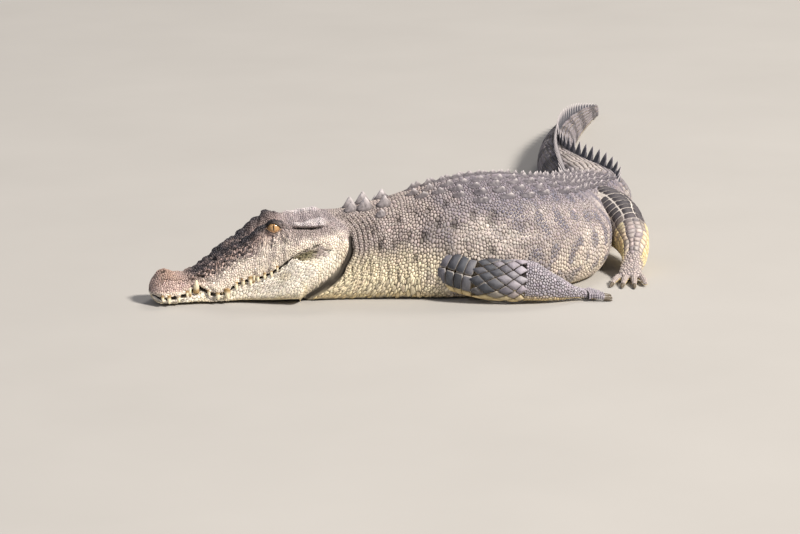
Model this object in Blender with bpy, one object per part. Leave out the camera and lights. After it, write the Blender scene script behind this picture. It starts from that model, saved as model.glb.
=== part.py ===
"""A life-size saltwater crocodile, about 4.2 m long, basking on its belly.

The animal is one long lofted body, laid along a curved spine, with four lofted limbs. Everything is
in metres, +Z up, and the animal lies on the plane z = 0. Stations along the animal are distances
from the snout tip, measured along the spine.
"""

import math

import bpy
import numpy as np

# ---- driving dimensions -------------------------------------------------------------------------
BODY_LENGTH = 4.20
SNOUT_TIP = (-0.84, 0.0)
# Moves the whole plan, so that the middle of the animal's bounding box stands on the origin.
PLAN_SHIFT = (-0.00812, -1.49640)
GAP = 0.0003
MOUTH_GAP = 0.0014

# Where the body is parted.
HEAD_END = 0.60
NECK_END = 0.96
CHEST_END = 1.33
BELLY_END = 1.75
TAIL_CUTS = (2.10, 2.66, 3.30)

# Spine: station, heading in degrees. 0 runs along +X and 90 along +Y.
HEADING = (
    (0.0, 15), (0.30, 12.5), (0.60, 9), (0.87, 6), (1.03, 12), (1.18, 34), (1.32, 56), (1.46, 66),
    (1.66, 60), (1.82, 66), (2.00, 84), (2.20, 96), (2.50, 97), (3.10, 86), (3.70, 78), (4.20, 72),
)

# Head outlines: station, metres.
JAW_WIDTH = (
    (0, .054), (.03, .066), (.07, .070), (.11, .066), (.155, .058), (.21, .090), (.25, .096),
    (.30, .101), (.38, .128), (.46, .163), (.54, .184), (.62, .188), (.75, .190),
)
TOP = (
    (0, .088), (.03, .100), (.06, .106), (.10, .100), (.15, .108), (.20, .135), (.27, .172),
    (.33, .197), (.38, .212), (.43, .221), (.50, .243), (.57, .262), (.75, .285),
)
LIP = (
    (0, .030), (.07, .030), (.11, .036), (.155, .056), (.205, .036), (.24, .040), (.29, .072),
    (.33, .084), (.38, .100), (.425, .128), (.47, .165), (.54, .182), (.75, .190),
)
RIM_WIDTH = (
    (0, .036), (.06, .044), (.13, .042), (.20, .056), (.27, .060), (.33, .064), (.38, .071),
    (.43, .077), (.50, .090), (.57, .100), (.75, .110),
)
RIM_RISE = (
    (0, -.010), (.06, -.008), (.13, -.008), (.20, -.006), (.27, .004), (.33, .014), (.38, .042),
    (.43, .054), (.48, .022), (.57, .002), (.75, -.012),
)
JOWL_WIDTH = (
    (0, .050), (.07, .058), (.12, .066), (.16, .072), (.21, .080), (.30, .098), (.38, .136),
    (.46, .176), (.54, .195), (.62, .198), (.75, .198),
)
SNOUT_ROUND = 0.05
SNOUT_ROUND_HEIGHT = 0.045
LIP_GROOVE = 0.006

# Body outlines behind the head: station, half width, height of the back, height of the widest place.
BODY = (
    (0.40, .150, .235, .110), (0.60, .160, .268, .115), (0.70, .172, .288, .118),
    (0.80, .190, .308, .120), (0.90, .212, .334, .122), (1.02, .242, .360, .124),
    (1.14, .272, .368, .126), (1.26, .298, .356, .126), (1.37, .310, .335, .122),
    (1.48, .268, .308, .122), (1.60, .215, .283, .120), (1.72, .180, .264, .118),
    (1.84, .166, .248, .116), (2.00, .150, .228, .106), (2.25, .128, .200, .094),
    (2.50, .106, .176, .082), (2.80, .085, .156, .072), (3.10, .066, .138, .062),
    (3.50, .044, .112, .050), (3.90, .025, .080, .034), (4.20, .010, .045, .020),
)

# Scutes: the rows of keels on the back, and the whorls of the tail with their upright crest.
SHIELD_START, SHIELD_END, SHIELD_ROWS = 0.87, 1.91, 16
KEEL_SPREAD = (0.045, 0.10, 0.15, 0.20)
KEEL_RISE = 0.016
WHORLS = 34
CREST_JOIN = 3.12
CREST_SPREAD = 0.78
CREST = ((1.91, .022), (2.00, .055), (2.14, .066), (2.9, .058), (3.2, .072), (3.6, .062), (4.14, .022))

# Teeth that show with the mouth shut: station, length past the lip, radius at the root.
UPPER_TEETH = ((.050, .016, .005), (.085, .015, .005), (.225, .018, .006), (.262, .020, .0065), (.305, .014, .005))
LOWER_TEETH = ((.155, .020, .0065),)

EYE_STATION, EYE_OFFSET, EYE_HEIGHT, EYE_RADIUS = 0.420, 0.070, 0.246, 0.023

# ---- curves -------------------------------------------------------------------------------------


def flow(knots, values, x):
    """A smooth curve through values at knots, read at x: cubic Hermite pieces with parabolic slopes."""
    knots, values = np.asarray(knots, float), np.asarray(values, float)
    x = np.clip(np.asarray(x, float), knots[0], knots[-1])
    slopes = np.gradient(values, knots, axis=0)
    i = np.clip(np.searchsorted(knots, x, side="right") - 1, 0, len(knots) - 2)
    width = knots[i + 1] - knots[i]
    t = (x - knots[i]) / width
    shape = t.shape + (1,) * (values.ndim - 1)
    t, width = t.reshape(shape), width.reshape(shape)
    start, end = values[i], values[i + 1]
    return (
        start * (1 + 2 * t) * (1 - t) ** 2 + slopes[i] * width * t * (1 - t) ** 2
        + end * t * t * (3 - 2 * t) - slopes[i + 1] * width * t * t * (1 - t)
    )


def read(table, x):
    """Reads a table of (station, value, ...) rows at x."""
    rows = np.array(table, float)
    values = rows[:, 1] if rows.shape[1] == 2 else rows[:, 1:]
    return flow(rows[:, 0], values, x)


def ease(x, low, high):
    """0 below low, 1 above high, and smooth between."""
    t = np.clip((x - low) / (high - low), 0, 1)
    return t * t * (3 - 2 * t)


FINE = np.linspace(-0.1, BODY_LENGTH + 0.1, 4401)
FINE_HEADING = np.radians(read(HEADING, FINE))
STEP = FINE[1] - FINE[0]


def running(values):
    """The integral of values along FINE, zero at station 0."""
    total = np.concatenate([[0], np.cumsum((values[1:] + values[:-1]) / 2) * STEP])
    return total - np.interp(0, FINE, total)


SPINE_X = SNOUT_TIP[0] + PLAN_SHIFT[0] + running(np.cos(FINE_HEADING))
SPINE_Y = SNOUT_TIP[1] + PLAN_SHIFT[1] + running(np.sin(FINE_HEADING))


def place(station, side, height):
    """Points in the world: side is metres to the animal's left of the spine."""
    station, side, height = np.broadcast_arrays(station, side, height)
    angle = np.interp(station, FINE, FINE_HEADING)
    x = np.interp(station, FINE, SPINE_X) + side * np.sin(angle)
    y = np.interp(station, FINE, SPINE_Y) - side * np.cos(angle)
    return np.stack([x, y, height], axis=-1)


# ---- cross-sections -----------------------------------------------------------------------------
# A half section runs from the middle of the back, v = 0, round the left side to the middle of the
# belly, v = 1. Rails on the head: back, rim, under the eye, cheek, upper lip, groove, lower lip, jowl,
# bottom edge, belly.
RAILS = (0.0, 0.12, 0.24, 0.37, 0.47, 0.50, 0.53, 0.70, 0.87, 1.0)
MOUTH = 0.50
# The jowl's rear edge: its station on the cheek, and how far it leans forward towards the throat, between
# which turns, and towards the nape.
JOWL_EDGE = 0.665
THROAT_LEAN, THROAT_TURNS = 0.17, (0.38, 0.84)
NAPE_LEAN, NAPE_TURNS = 0.05, (0.0, 0.3)


def head_half(station, v):
    """Half sections of the head, as (side, height), by a smooth curve across the ten rails."""
    a = np.asarray(station, float)
    top, lip, jaw = read(TOP, a), read(LIP, a), read(JAW_WIDTH, a)
    rim, rise, jowl = read(RIM_WIDTH, a), read(RIM_RISE, a), read(JOWL_WIDTH, a)
    rim_top = top + rise
    groove = LIP_GROOVE * (1 - ease(a, 0.45, 0.50))
    rails = (
        (0 * a, top), (rim, rim_top),
        (rim + .24 * (jaw - rim), rim_top - .27 * (rim_top - lip)),
        (rim + .74 * (jaw - rim), rim_top - .60 * (rim_top - lip)),
        (jaw, lip + .003), (jaw - groove, lip - .002), (jaw - .35 * groove, lip - .008),
        (jowl, .52 * lip), (.86 * jowl, .10 * lip), (0 * a, 0 * a),
    )
    rails = np.array(rails).transpose(0, 2, 1)
    mirror = rails[1] * (-1, 1), rails[-2] * (-1, 1)
    knots = (-RAILS[1], *RAILS, 2 - RAILS[-2])
    points = flow(knots, np.concatenate([mirror[:1], rails, mirror[1:]]), v)
    reach = np.clip(a / SNOUT_ROUND, 0, 1)
    shrink = ((1 - (1 - reach) ** 2.3) ** (1 / 2.3))[None, :]
    side = points[..., 0] * shrink
    height = SNOUT_ROUND_HEIGHT + (points[..., 1] - SNOUT_ROUND_HEIGHT) * shrink
    return side.T, height.T


def body_half(station, v):
    """Half sections behind the head: a low dome over a belly that is pressed flat on the ground."""
    wide, high, flank = read(BODY, station).T[:, :, None]
    turn = np.pi * np.asarray(v, float)[None, :]
    slim = ease(station, 2.0, 3.2)[:, None]
    up, down = np.clip(np.cos(turn), 0, 1), np.clip(-np.cos(turn), 0, 1)
    out = np.clip(np.sin(turn), 0, 1)
    side = wide * np.where(turn < np.pi / 2, out ** (.92 - .10 * slim), out ** (.62 + .2 * slim))
    sink = .010 + .14 * flank
    height = flank + (high - flank) * up ** .90 - (flank + sink) * down ** .72
    return side, height


def half_section(station, v):
    """(side, height) of the whole body's left half, without scutes. The jowl's rear edge leans back."""
    station, v = np.atleast_1d(station).astype(float), np.atleast_1d(v).astype(float)
    body_side, body_height = body_half(station, v)
    head_side, head_height = head_half(station, v)
    edge = JOWL_EDGE - THROAT_LEAN * ease(v, *THROAT_TURNS) - NAPE_LEAN * (1 - ease(v, *NAPE_TURNS))
    soft = 0.016 + 0.05 * (1 - ease(v, 0.15, 0.45))
    share = ease(station[:, None], (edge - soft)[None, :], (edge + soft)[None, :])
    side = head_side + share * (body_side - head_side)
    height = head_height + share * (body_height - head_height)
    return side, height


# ---- scutes -------------------------------------------------------------------------------------


def shield_stations():
    """The front and the peak of each crosswise row of keels on the back."""
    pitch = (SHIELD_END - SHIELD_START) / SHIELD_ROWS
    fronts = SHIELD_START + pitch * np.arange(SHIELD_ROWS)
    return fronts, fronts + 0.68 * pitch


def whorl_stations():
    """The front and the peak of each whorl of the tail, which shorten towards the tip."""
    share = np.linspace(0, 1, WHORLS + 1)
    ends = SHIELD_END + (BODY_LENGTH - 0.06 - SHIELD_END) * (1.22 * share - 0.22 * share**2)
    return ends[:-1], ends[:-1] + 0.72 * np.diff(ends)


def crest_turn(station):
    """Where a crest row stands on the half section, as v. The two rows meet at CREST_JOIN."""
    apart = 1 - ease(station, SHIELD_END, CREST_JOIN)
    return 0.30 * CREST_SPREAD * apart


# ---- solids -------------------------------------------------------------------------------------
HIDE = (0.36, 0.33, 0.29)
BELLY_HIDE = (0.72, 0.66, 0.50)
HORN = (0.10, 0.09, 0.08)
AMBER = (0.62, 0.42, 0.12)


def material(name, colour, roughness):
    made = bpy.data.materials.get(name)
    if made is None:
        made = bpy.data.materials.new(name)
        made.use_nodes = True
        shader = made.node_tree.nodes["Principled BSDF"]
        shader.inputs["Base Color"].default_value = (*colour, 1)
        shader.inputs["Roughness"].default_value = roughness
        shader.inputs["Metallic"].default_value = 0
    return made


def solid(name, points, faces, colour=HIDE, roughness=0.6, helper=False):
    """A named mesh object with its faces pointing out. A helper only cuts or joins, and isn't shown."""
    mesh = bpy.data.meshes.new(name)
    mesh.from_pydata([tuple(p) for p in points], [], [tuple(f) for f in faces])
    volume = mesh_volume(mesh)
    if volume < 0:
        mesh.flip_normals()
    mesh.shade_smooth()
    mesh.set_sharp_from_angle(angle=math.radians(40))
    mesh.materials.append(material(f"mat_{name.split('.')[0]}", colour, roughness))
    made = bpy.data.objects.new(name, mesh)
    bpy.context.scene.collection.objects.link(made)
    if helper:
        made.hide_render = True
        made.display_type = "WIRE"
    return made


def mesh_volume(mesh):
    """Signed volume, by summing the cones from the origin to each triangle."""
    mesh.calc_loop_triangles()
    corners = np.array([mesh.vertices[i].co for t in mesh.loop_triangles for i in t.vertices])
    return np.linalg.det(corners.reshape(-1, 3, 3)).sum() / 6


def loft(name, rings, **looks):
    """A closed solid through rings of equally many points, with flat ends."""
    count, around = rings.shape[:2]
    index = np.arange(count * around).reshape(count, around)
    following = np.roll(index, -1, axis=1)
    lower = np.stack([index[:-1], following[:-1], following[1:]], axis=-1).reshape(-1, 3)
    upper = np.stack([index[:-1], following[1:], index[1:]], axis=-1).reshape(-1, 3)
    faces = [*lower.tolist(), *upper.tolist(), index[0][::-1].tolist(), index[-1].tolist()]
    return solid(name, rings.reshape(-1, 3), faces, **looks)


def combine(target, other, operation):
    """Adds a Boolean of the target with a helper object."""
    step = target.modifiers.new(other.name, "BOOLEAN")
    step.object, step.operation, step.solver = other, operation, "EXACT"


def whole_ring(side, height, stations, below=0.0):
    """Full rings in the world from half sections: down the left side, and up the right. What would
    pass through the ground is pressed flat, at the ground or a little below it."""
    side = np.concatenate([side, -side[:, -2:0:-1]], axis=1)
    height = np.concatenate([height, height[:, -2:0:-1]], axis=1)
    return place(stations[:, None], side, np.where(height <= 0, -below, height))


def outward(side, height):
    """Unit vectors that point out of half sections."""
    across, up = np.gradient(side, axis=1), np.gradient(height, axis=1)
    length = np.hypot(across, up) + 1e-9
    return -up / length, across / length


# ---- the trunk, with its keeled shield ----------------------------------------------------------
def trunk_turns():
    """Where points lie round the half section: on the keels, in the furrows between, and on the flank."""
    furrows = (0.0, 0.072, 0.125, 0.175, 0.26)
    flank = (0.40, 0.48, 0.56, 0.66, 0.80, 1.0)
    return np.array(sorted((*KEEL_SPREAD, *furrows, *flank)))


def trunk_rings(stations, swell=0.0):
    turns = trunk_turns()
    side, height = half_section(stations, turns)
    side[:, 0] = side[:, -1] = 0
    fronts, peaks = shield_stations()
    rise = np.interp(
        stations, np.ravel(np.stack([fronts, peaks], 1)), np.tile([0.15, 1.0], SHIELD_ROWS)
    )
    rise *= ease(stations, SHIELD_START - .02, SHIELD_START + .02) * KEEL_RISE
    keeled = np.isin(turns, KEEL_SPREAD)
    out_side, out_up = outward(side, height)
    shift = rise[:, None] * keeled[None, :] + swell
    touching = height <= 0
    side, height = side + out_side * shift, height + out_up * shift
    return whole_ring(side, np.where(touching, 0, height), stations, swell)


def stretch(start, end, marks):
    """Stations from start to end, through the marks that lie between, with the cuts' gap at each end."""
    inside = [m for m in marks if start + .012 < m < end - .012]
    return np.array([start + GAP / 2, *inside, end - GAP / 2])


TRUNK_CUTS = (HEAD_END, NECK_END, CHEST_END, BELLY_END, SHIELD_END)


def trunk_marks():
    """Stations of rings on the neck and the trunk, between the cuts."""
    return sorted([*np.arange(HEAD_END + .04, SHIELD_START - .01, .06), *np.ravel(shield_stations())])


def build_trunk():
    names = ("neck", "chest", "belly", "pelvis")
    pieces = [
        loft(name, trunk_rings(stretch(start, end, trunk_marks())))
        for name, start, end in zip(names, TRUNK_CUTS, TRUNK_CUTS[1:])
    ]
    return pieces[0]


# ---- the nape's six upright scutes --------------------------------------------------------------
NAPE_SCUTES = ((.690, .030, .85), (.735, .040, 1.0), (.735, .105, .9), (.800, .045, .9), (.800, .112, .7))
NAPE_SIZE = (0.036, 0.032, 0.031)


def build_nape(neck):
    """Low four-sided pyramids in two curved rows, joined to the neck."""
    half_length, half_width, rise = NAPE_SIZE
    for side_name, sign in (("left", 1), ("right", -1)):
        for number, (station, side, size) in enumerate(NAPE_SCUTES):
            base = float(back_height(station, side))
            corners = ((-1, 0), (-.2, -1), (1, 0), (-.2, 1))
            foot = [
                place(station + half_length * a * size, sign * (side + half_width * b * size), base - .02)
                for a, b in corners
            ]
            peak = place(station + .3 * half_length * size, sign * side * 1.03, base + rise * size)
            faces = [(3, 2, 1, 0)] + [(i, (i + 1) % 4, 4) for i in range(4)]
            scute = solid(f"{side_name}_nape_scute_{number}", [*foot, peak], faces, helper=True)
            combine(neck, scute, "UNION")


def back_height(station, side):
    """Height of the back at a distance from its middle."""
    turns = np.linspace(0, .5, 60)
    across, height = half_section(station, turns)
    return np.interp(side, across[0], height[0])


# ---- the tail, with its whorls and crest --------------------------------------------------------
def tail_rings(stations, swell=0.0):
    """Rings with a notched crest, which starts as two rows and ends as one."""
    apart = crest_turn(stations)
    fin = 0.055 * (1 - .35 * ease(stations, 2.6, 3.4))
    fixed = (0.53, 0.74, 1.0)
    turns = [0 * stations, apart * .55, apart, apart + fin, apart * .6 + .30]
    turns += [0 * stations + f for f in fixed]
    turns = np.sort(np.stack(turns, axis=1), axis=1)
    side, height = np.empty_like(turns), np.empty_like(turns)
    for i, station in enumerate(stations):
        row_side, row_height = half_section(station, turns[i])
        side[i], height[i] = row_side[0], row_height[0]
    fronts, peaks = whorl_stations()
    marks = np.ravel(np.stack([fronts, peaks], 1))
    tooth = np.interp(stations, marks, np.tile([0.30, 1.0], WHORLS))
    rise = read(CREST, stations) * tooth * ease(stations, SHIELD_END - .01, SHIELD_END + .05)
    lean = 0.45 * (1 - ease(stations, 2.2, CREST_JOIN))
    single = ease(stations, CREST_JOIN - .06, CREST_JOIN)
    side[:, 2] += rise * lean
    height[:, 2] += rise * (1 - .25 * lean)
    height[:, 1] += rise * single
    height[:, 0] += rise * single
    side[:, 1] *= 1 - .6 * single
    side[:, 2] *= 1 - .5 * single
    out_side, out_up = outward(side, height)
    touching = height <= 0
    side, height = side + out_side * swell, height + out_up * swell
    side[:, 0] = side[:, -1] = 0
    return whole_ring(side, np.where(touching, 0, height), stations, swell)


def build_tail():
    fronts, peaks = whorl_stations()
    marks = sorted([*fronts, *peaks])
    cuts = (SHIELD_END, *TAIL_CUTS, BODY_LENGTH - 0.004)
    names = ("tail_root", "tail_first", "tail_middle", "tail_tip")
    for name, start, end in zip(names, cuts, cuts[1:]):
        loft(name, tail_rings(stretch(start, end, marks)))


# ---- the head -----------------------------------------------------------------------------------
def head_stations():
    """Stations that crowd together where the snout rounds off."""
    tip = SNOUT_ROUND * (1 - np.cos(np.linspace(0.14, 1, 5) * np.pi / 2))
    rest = np.linspace(SNOUT_ROUND, HEAD_END - GAP / 2, 16)[1:]
    return np.concatenate([tip, rest])


def build_head():
    """The cranium and the lower jaw, parted along the mouth by a thin flat cut."""
    stations = head_stations()
    upper = np.array([0, .06, .12, .18, .25, .34, .43, MOUTH])
    lower = np.array([MOUTH, .54, .62, .72, .82, 1.0])
    side, height = half_section(stations, upper)
    side[:, 0] = 0
    height[:, -1] += MOUTH_GAP / 2
    palate = height[:, -1:]
    ring_side = np.concatenate([side, 0 * palate, -side[:, :0:-1]], axis=1)
    ring_height = np.concatenate([height, palate, height[:, :0:-1]], axis=1)
    cranium = loft("cranium", place(stations[:, None], ring_side, ring_height))
    side, height = half_section(stations, lower)
    side[:, -1] = 0
    height[:, 0] -= MOUTH_GAP / 2
    height = np.maximum(height, 0)
    floor = height[:, :1]
    ring_side = np.concatenate([0 * floor, side, -side[:, -2::-1]], axis=1)
    ring_height = np.concatenate([floor, height, height[:, -2::-1]], axis=1)
    jaw = loft("lower_jaw", place(stations[:, None], ring_side, ring_height), colour=BELLY_HIDE)
    return cranium, jaw


def build_teeth(cranium, jaw):
    """Cones joined to the jaw they grow from, with a close hollow for each in the other jaw."""
    for side_name, sign in (("left", 1), ("right", -1)):
        for number, (station, length, radius) in enumerate(UPPER_TEETH):
            side, lip = float(read(JAW_WIDTH, station)), float(read(LIP, station))
            root = place(station, sign * (side - .005), lip + .006)
            tip = place(station, sign * (side + .003), lip - length)
            set_tooth(f"{side_name}_upper_tooth_{number}", root, tip, radius, cranium, jaw)
        for number, (station, length, radius) in enumerate(LOWER_TEETH):
            side, lip = float(read(JOWL_WIDTH, station)), float(read(LIP, station))
            root = place(station, sign * (side - .009), lip - .020)
            tip = place(station, sign * side, lip + length)
            set_tooth(f"{side_name}_lower_tooth_{number}", root, tip, radius, jaw, cranium)


def set_tooth(name, root, tip, radius, grown_from, other):
    """One cone, united with its own jaw and cut out of the other."""
    for suffix, swell, target, operation in (
        ("", 0, grown_from, "UNION"), ("_hollow", MOUTH_GAP / 2, other, "DIFFERENCE"),
    ):
        angle = np.linspace(0, 2 * math.pi, 6)[:-1, None]
        ahead = (tip - root) / np.linalg.norm(tip - root)
        across = np.cross(ahead, (1.0, 0, 0))
        across /= np.linalg.norm(across)
        disc = np.cos(angle) * across + np.sin(angle) * np.cross(ahead, across)
        rings = [root + disc * (radius + swell), tip + ahead * 2 * swell + disc * (radius * .2 + swell)]
        cone = loft(name + suffix, np.array(rings), helper=True)
        combine(target, cone, operation)


def build_eyes(cranium):
    for name, sign in (("left_eye", 1), ("right_eye", -1)):
        centre = place(EYE_STATION, sign * EYE_OFFSET, EYE_HEIGHT)
        ball(f"{name}_socket", centre, EYE_RADIUS + GAP, helper=True)
        combine(cranium, bpy.data.objects[f"{name}_socket"], "DIFFERENCE")
        ball(name, centre, EYE_RADIUS, colour=AMBER, roughness=0.1)


def ball(name, centre, radius, **looks):
    """A sphere from rings of latitude, with small flat poles."""
    polar = np.linspace(0.3, math.pi - 0.3, 6)[:, None]
    around = np.linspace(0, 2 * math.pi, 11)[None, :-1]
    rings = np.stack(
        [np.sin(polar) * np.cos(around), np.sin(polar) * np.sin(around), np.cos(polar) + 0 * around],
        axis=-1,
    )
    return loft(name, centre + radius * rings, **looks)


# ---- limbs --------------------------------------------------------------------------------------
# Each joint: plan position, height, half thickness across, half thickness up.
LIMBS = {
    "left_fore": {
        "joints": (
            (.100, .140, .150, .075, .080), (.178, -.005, .105, .070, .078), (.305, -.058, .076, .066, .074),
            (.430, -.072, .070, .060, .070), (.505, -.070, .050, .046, .050), (.580, -.050, .026, .034, .024),
        ),
        "split": 3, "digits": 5, "palm": .042, "reach": .045, "turn": 0, "fan": 24,
    },
    "right_fore": {
        "joints": (
            (.120, .250, .150, .075, .080), (.098, .390, .105, .068, .074), (.075, .490, .070, .062, .068),
            (.005, .555, .064, .056, .062), (-.075, .575, .048, .044, .046), (-.135, .580, .026, .034, .024),
        ),
        "split": 3, "digits": 5, "palm": .042, "reach": .045, "turn": 0, "fan": 24,
    },
    "left_hind": {
        "joints": (
            (.640, .740, .150, .080, .078), (.715, .630, .152, .084, .086), (.772, .480, .130, .078, .086),
            (.800, .360, .098, .060, .070), (.800, .285, .058, .046, .050), (.785, .235, .030, .040, .028),
        ),
        "split": 2, "digits": 4, "palm": .055, "reach": .070, "turn": 10, "fan": 14,
    },
    "right_hind": {
        "joints": (
            (.600, .790, .130, .075, .074), (.500, .845, .118, .078, .078), (.380, .870, .090, .070, .074),
            (.300, .930, .070, .054, .060), (.270, 1.020, .048, .044, .046), (.245, 1.085, .030, .038, .028),
        ),
        "split": 2, "digits": 4, "palm": .055, "reach": .070, "turn": 0, "fan": 14,
    },
}
CLAWED = 3


def limb_path(limb, samples):
    """Centres and half thicknesses along a limb, and its direction, from a smooth curve through its joints."""
    joints = np.array(limb["joints"])
    centres = joints[:, :3] + (*PLAN_SHIFT, 0)
    run = np.concatenate([[0], np.cumsum(np.linalg.norm(np.diff(centres, axis=0), axis=1))])
    at = samples * run[-1]
    data = flow(run, np.concatenate([centres, joints[:, 3:]], axis=1), at)
    ahead = flow(run, centres, at + .004) - flow(run, centres, at - .004)
    ahead /= np.linalg.norm(ahead, axis=1)[:, None]
    return data[:, :3], data[:, 3:], ahead, run / run[-1]


def tube_rings(centres, sizes, ahead, around=12):
    """Rings round a centreline, upright, each pressed flat where it would pass through the ground."""
    across = np.cross(ahead, (0, 0, 1.0))
    across /= np.linalg.norm(across, axis=1)[:, None]
    up = np.cross(across, ahead)
    angle = np.linspace(0, 2 * math.pi, around + 1)[None, :-1, None]
    spread = np.sign(np.cos(angle)) * np.abs(np.cos(angle)) ** .9 * across[:, None] * sizes[:, None, :1]
    tall = np.sin(angle) * up[:, None] * sizes[:, None, 1:]
    rings = centres[:, None] + spread + tall
    rings[..., 2] = np.maximum(rings[..., 2], 0)
    return rings


def limb_piece(name, limb, start, end, rings):
    """One length of a limb, between two shares of its run, shortened by the gap."""
    samples = np.linspace(start, end, rings)
    centres, sizes, ahead, _ = limb_path(limb, samples)
    trim = GAP / 2
    centres[0] += ahead[0] * trim
    centres[-1] -= ahead[-1] * trim
    return loft(name, tube_rings(centres, sizes, ahead))


def build_limb(name, limb, clearance):
    sign = 1 if name.startswith("left") else -1
    _, _, _, shares = limb_path(limb, np.array([0.0]))
    bend = shares[limb["split"]]
    upper_name, lower_name, foot_name = {
        "fore": ("upper_arm", "forearm", "hand"), "hind": ("thigh", "shank", "foot"),
    }[name.split("_")[1]]
    side_name = name.split("_")[0]
    upper = limb_piece(f"{side_name}_{upper_name}", limb, 0, bend, 7)
    lower = limb_piece(f"{side_name}_{lower_name}", limb, bend, 1, 5)
    for body in clearance:
        combine(upper, body, "DIFFERENCE")
    combine(lower, clearance[0], "DIFFERENCE")
    build_foot(f"{side_name}_{foot_name}", limb, sign)


def build_foot(name, limb, sign):
    """A flat palm with spread digits; the inner ones end in claws."""
    centres, sizes, ahead, _ = limb_path(limb, np.array([1.0]))
    wrist, direction, size = centres[0], ahead[0], sizes[0]
    heading = math.atan2(direction[1], direction[0]) + math.radians(limb["turn"])
    forward = np.array([math.cos(heading), math.sin(heading), 0])
    across = np.array([-forward[1], forward[0], 0])
    palm = limb["palm"]
    steps = np.array([0, .35, .7, 1.0])
    palm_centres = wrist + forward * steps[:, None] * palm
    palm_centres[:, 2] = wrist[2] + (0.016 - wrist[2]) * steps
    palm_centres[0] += direction * GAP / 2
    facing = np.stack([direction, forward, forward, forward])
    wide = size[0] + (palm * .82 - size[0]) * steps
    thick = size[1] + (.015 - size[1]) * steps
    foot = loft(name, tube_rings(palm_centres, np.stack([wide, thick], 1), facing, 12))
    for number in range(limb["digits"]):
        share = number / (limb["digits"] - 1) * 2 - 1
        angle = math.radians(limb["fan"]) * share
        ray = forward * math.cos(angle) + across * math.sin(angle)
        root = wrist + forward * palm * .72 + across * palm * .62 * share
        reach = limb["reach"] * (1 - .22 * abs(share - .1))
        build_digit(foot, name, number, root, ray, reach, number < CLAWED if sign > 0
                    else number >= limb["digits"] - CLAWED)


def build_digit(foot, name, number, root, ray, reach, clawed):
    """A tapered finger, arched a little and resting on the ground, joined to the palm."""
    steps = np.array([0, .6, 1.0])
    centres = root + ray * (.03 + reach) * steps[:, None]
    centres[:, 2] = .013 + .006 * np.sin(math.pi * steps) - .003 * steps
    thick = .0125 * (1 - .35 * steps)
    rings = tube_rings(centres, np.stack([thick * 1.05, thick], 1), np.tile(ray, (3, 1)), 6)
    digit = loft(f"{name}_digit_{number}", rings, helper=True)
    combine(foot, digit, "UNION")
    if clawed:
        tip = centres[-1] + ray * GAP
        steps = np.array([0, .5, 1.0])
        claw_centres = tip + ray * .024 * steps[:, None]
        claw_centres[:, 2] = tip[2] + .002 * np.sin(math.pi * steps) - (tip[2] - .002) * steps**2
        taper = .0062 * (1 - .88 * steps)
        sizes = np.stack([taper * .8, taper], 1)
        rings = tube_rings(claw_centres, sizes, np.tile(ray, (3, 1)), 6)
        loft(f"{name}_claw_{number + 1}", rings, colour=HORN, roughness=0.35)


def build_clearance():
    """The trunk and the tail root swollen by the gap, which the limbs are cut back to."""
    lengths = [stretch(start, end, trunk_marks())[:-1] for start, end in zip(TRUNK_CUTS, TRUNK_CUTS[1:])]
    stations = np.concatenate([*lengths, [SHIELD_END + .002]])
    trunk = loft("trunk_clearance", trunk_rings(stations, swell=5 * GAP), helper=True)
    stations = stretch(SHIELD_END, TAIL_CUTS[0], sorted(np.ravel(whorl_stations())))
    stations[0] -= .004
    tail = loft("tail_clearance", tail_rings(stations, swell=5 * GAP), helper=True)
    return trunk, tail


def main():
    for old in list(bpy.data.objects):
        bpy.data.objects.remove(old)
    cranium, jaw = build_head()
    build_teeth(cranium, jaw)
    build_eyes(cranium)
    neck = build_trunk()
    build_nape(neck)
    build_tail()
    clearance = build_clearance()
    for name, limb in LIMBS.items():
        build_limb(name, limb, clearance)


main()
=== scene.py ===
"""The looks of a life-size saltwater crocodile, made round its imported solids.

The hide is one skin laid a little inside the solids, and over it every scale is a small closed plate
with its own place, size and colour. Back and nape scutes, the tail's crest, eyes, teeth and claws are
pieces of their own. Lengths are in metres, +Z is up, and the snout points towards -X and -Y.
"""

import math
from collections import namedtuple

import bmesh
import bpy
import numpy as np
from mathutils.geometry import delaunay_2d_cdt
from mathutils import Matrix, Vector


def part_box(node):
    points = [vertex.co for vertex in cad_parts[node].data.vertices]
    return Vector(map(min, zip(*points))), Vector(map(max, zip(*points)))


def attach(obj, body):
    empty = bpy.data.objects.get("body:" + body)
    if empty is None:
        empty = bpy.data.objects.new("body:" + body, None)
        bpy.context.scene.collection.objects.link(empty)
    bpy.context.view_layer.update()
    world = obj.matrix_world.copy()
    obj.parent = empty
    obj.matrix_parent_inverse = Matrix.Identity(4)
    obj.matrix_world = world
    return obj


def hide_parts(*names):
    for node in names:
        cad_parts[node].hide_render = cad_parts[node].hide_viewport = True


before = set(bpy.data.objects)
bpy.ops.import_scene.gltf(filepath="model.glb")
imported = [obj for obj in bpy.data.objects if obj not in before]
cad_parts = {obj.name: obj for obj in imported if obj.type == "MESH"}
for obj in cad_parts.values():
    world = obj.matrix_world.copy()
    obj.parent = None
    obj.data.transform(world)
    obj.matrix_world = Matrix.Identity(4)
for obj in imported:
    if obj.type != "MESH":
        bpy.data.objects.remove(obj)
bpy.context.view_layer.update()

# ---- the ground, the lights and the camera -------------------
# A pale matt floor under soft studio lamps: a broad warm key from the viewer's right, a cool fill from
# the left, and a pale room. The camera stands far off with a long lens, a little above the animal.
FLOOR_REACH, FLOOR_LEVEL = 40.0, -0.0005
# The shift in plan puts the middle of the curled body's box at the origin.
PLAN_SHIFT = (-0.00812, -1.49640)
AIM = (*PLAN_SHIFT, 0.11)
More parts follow.
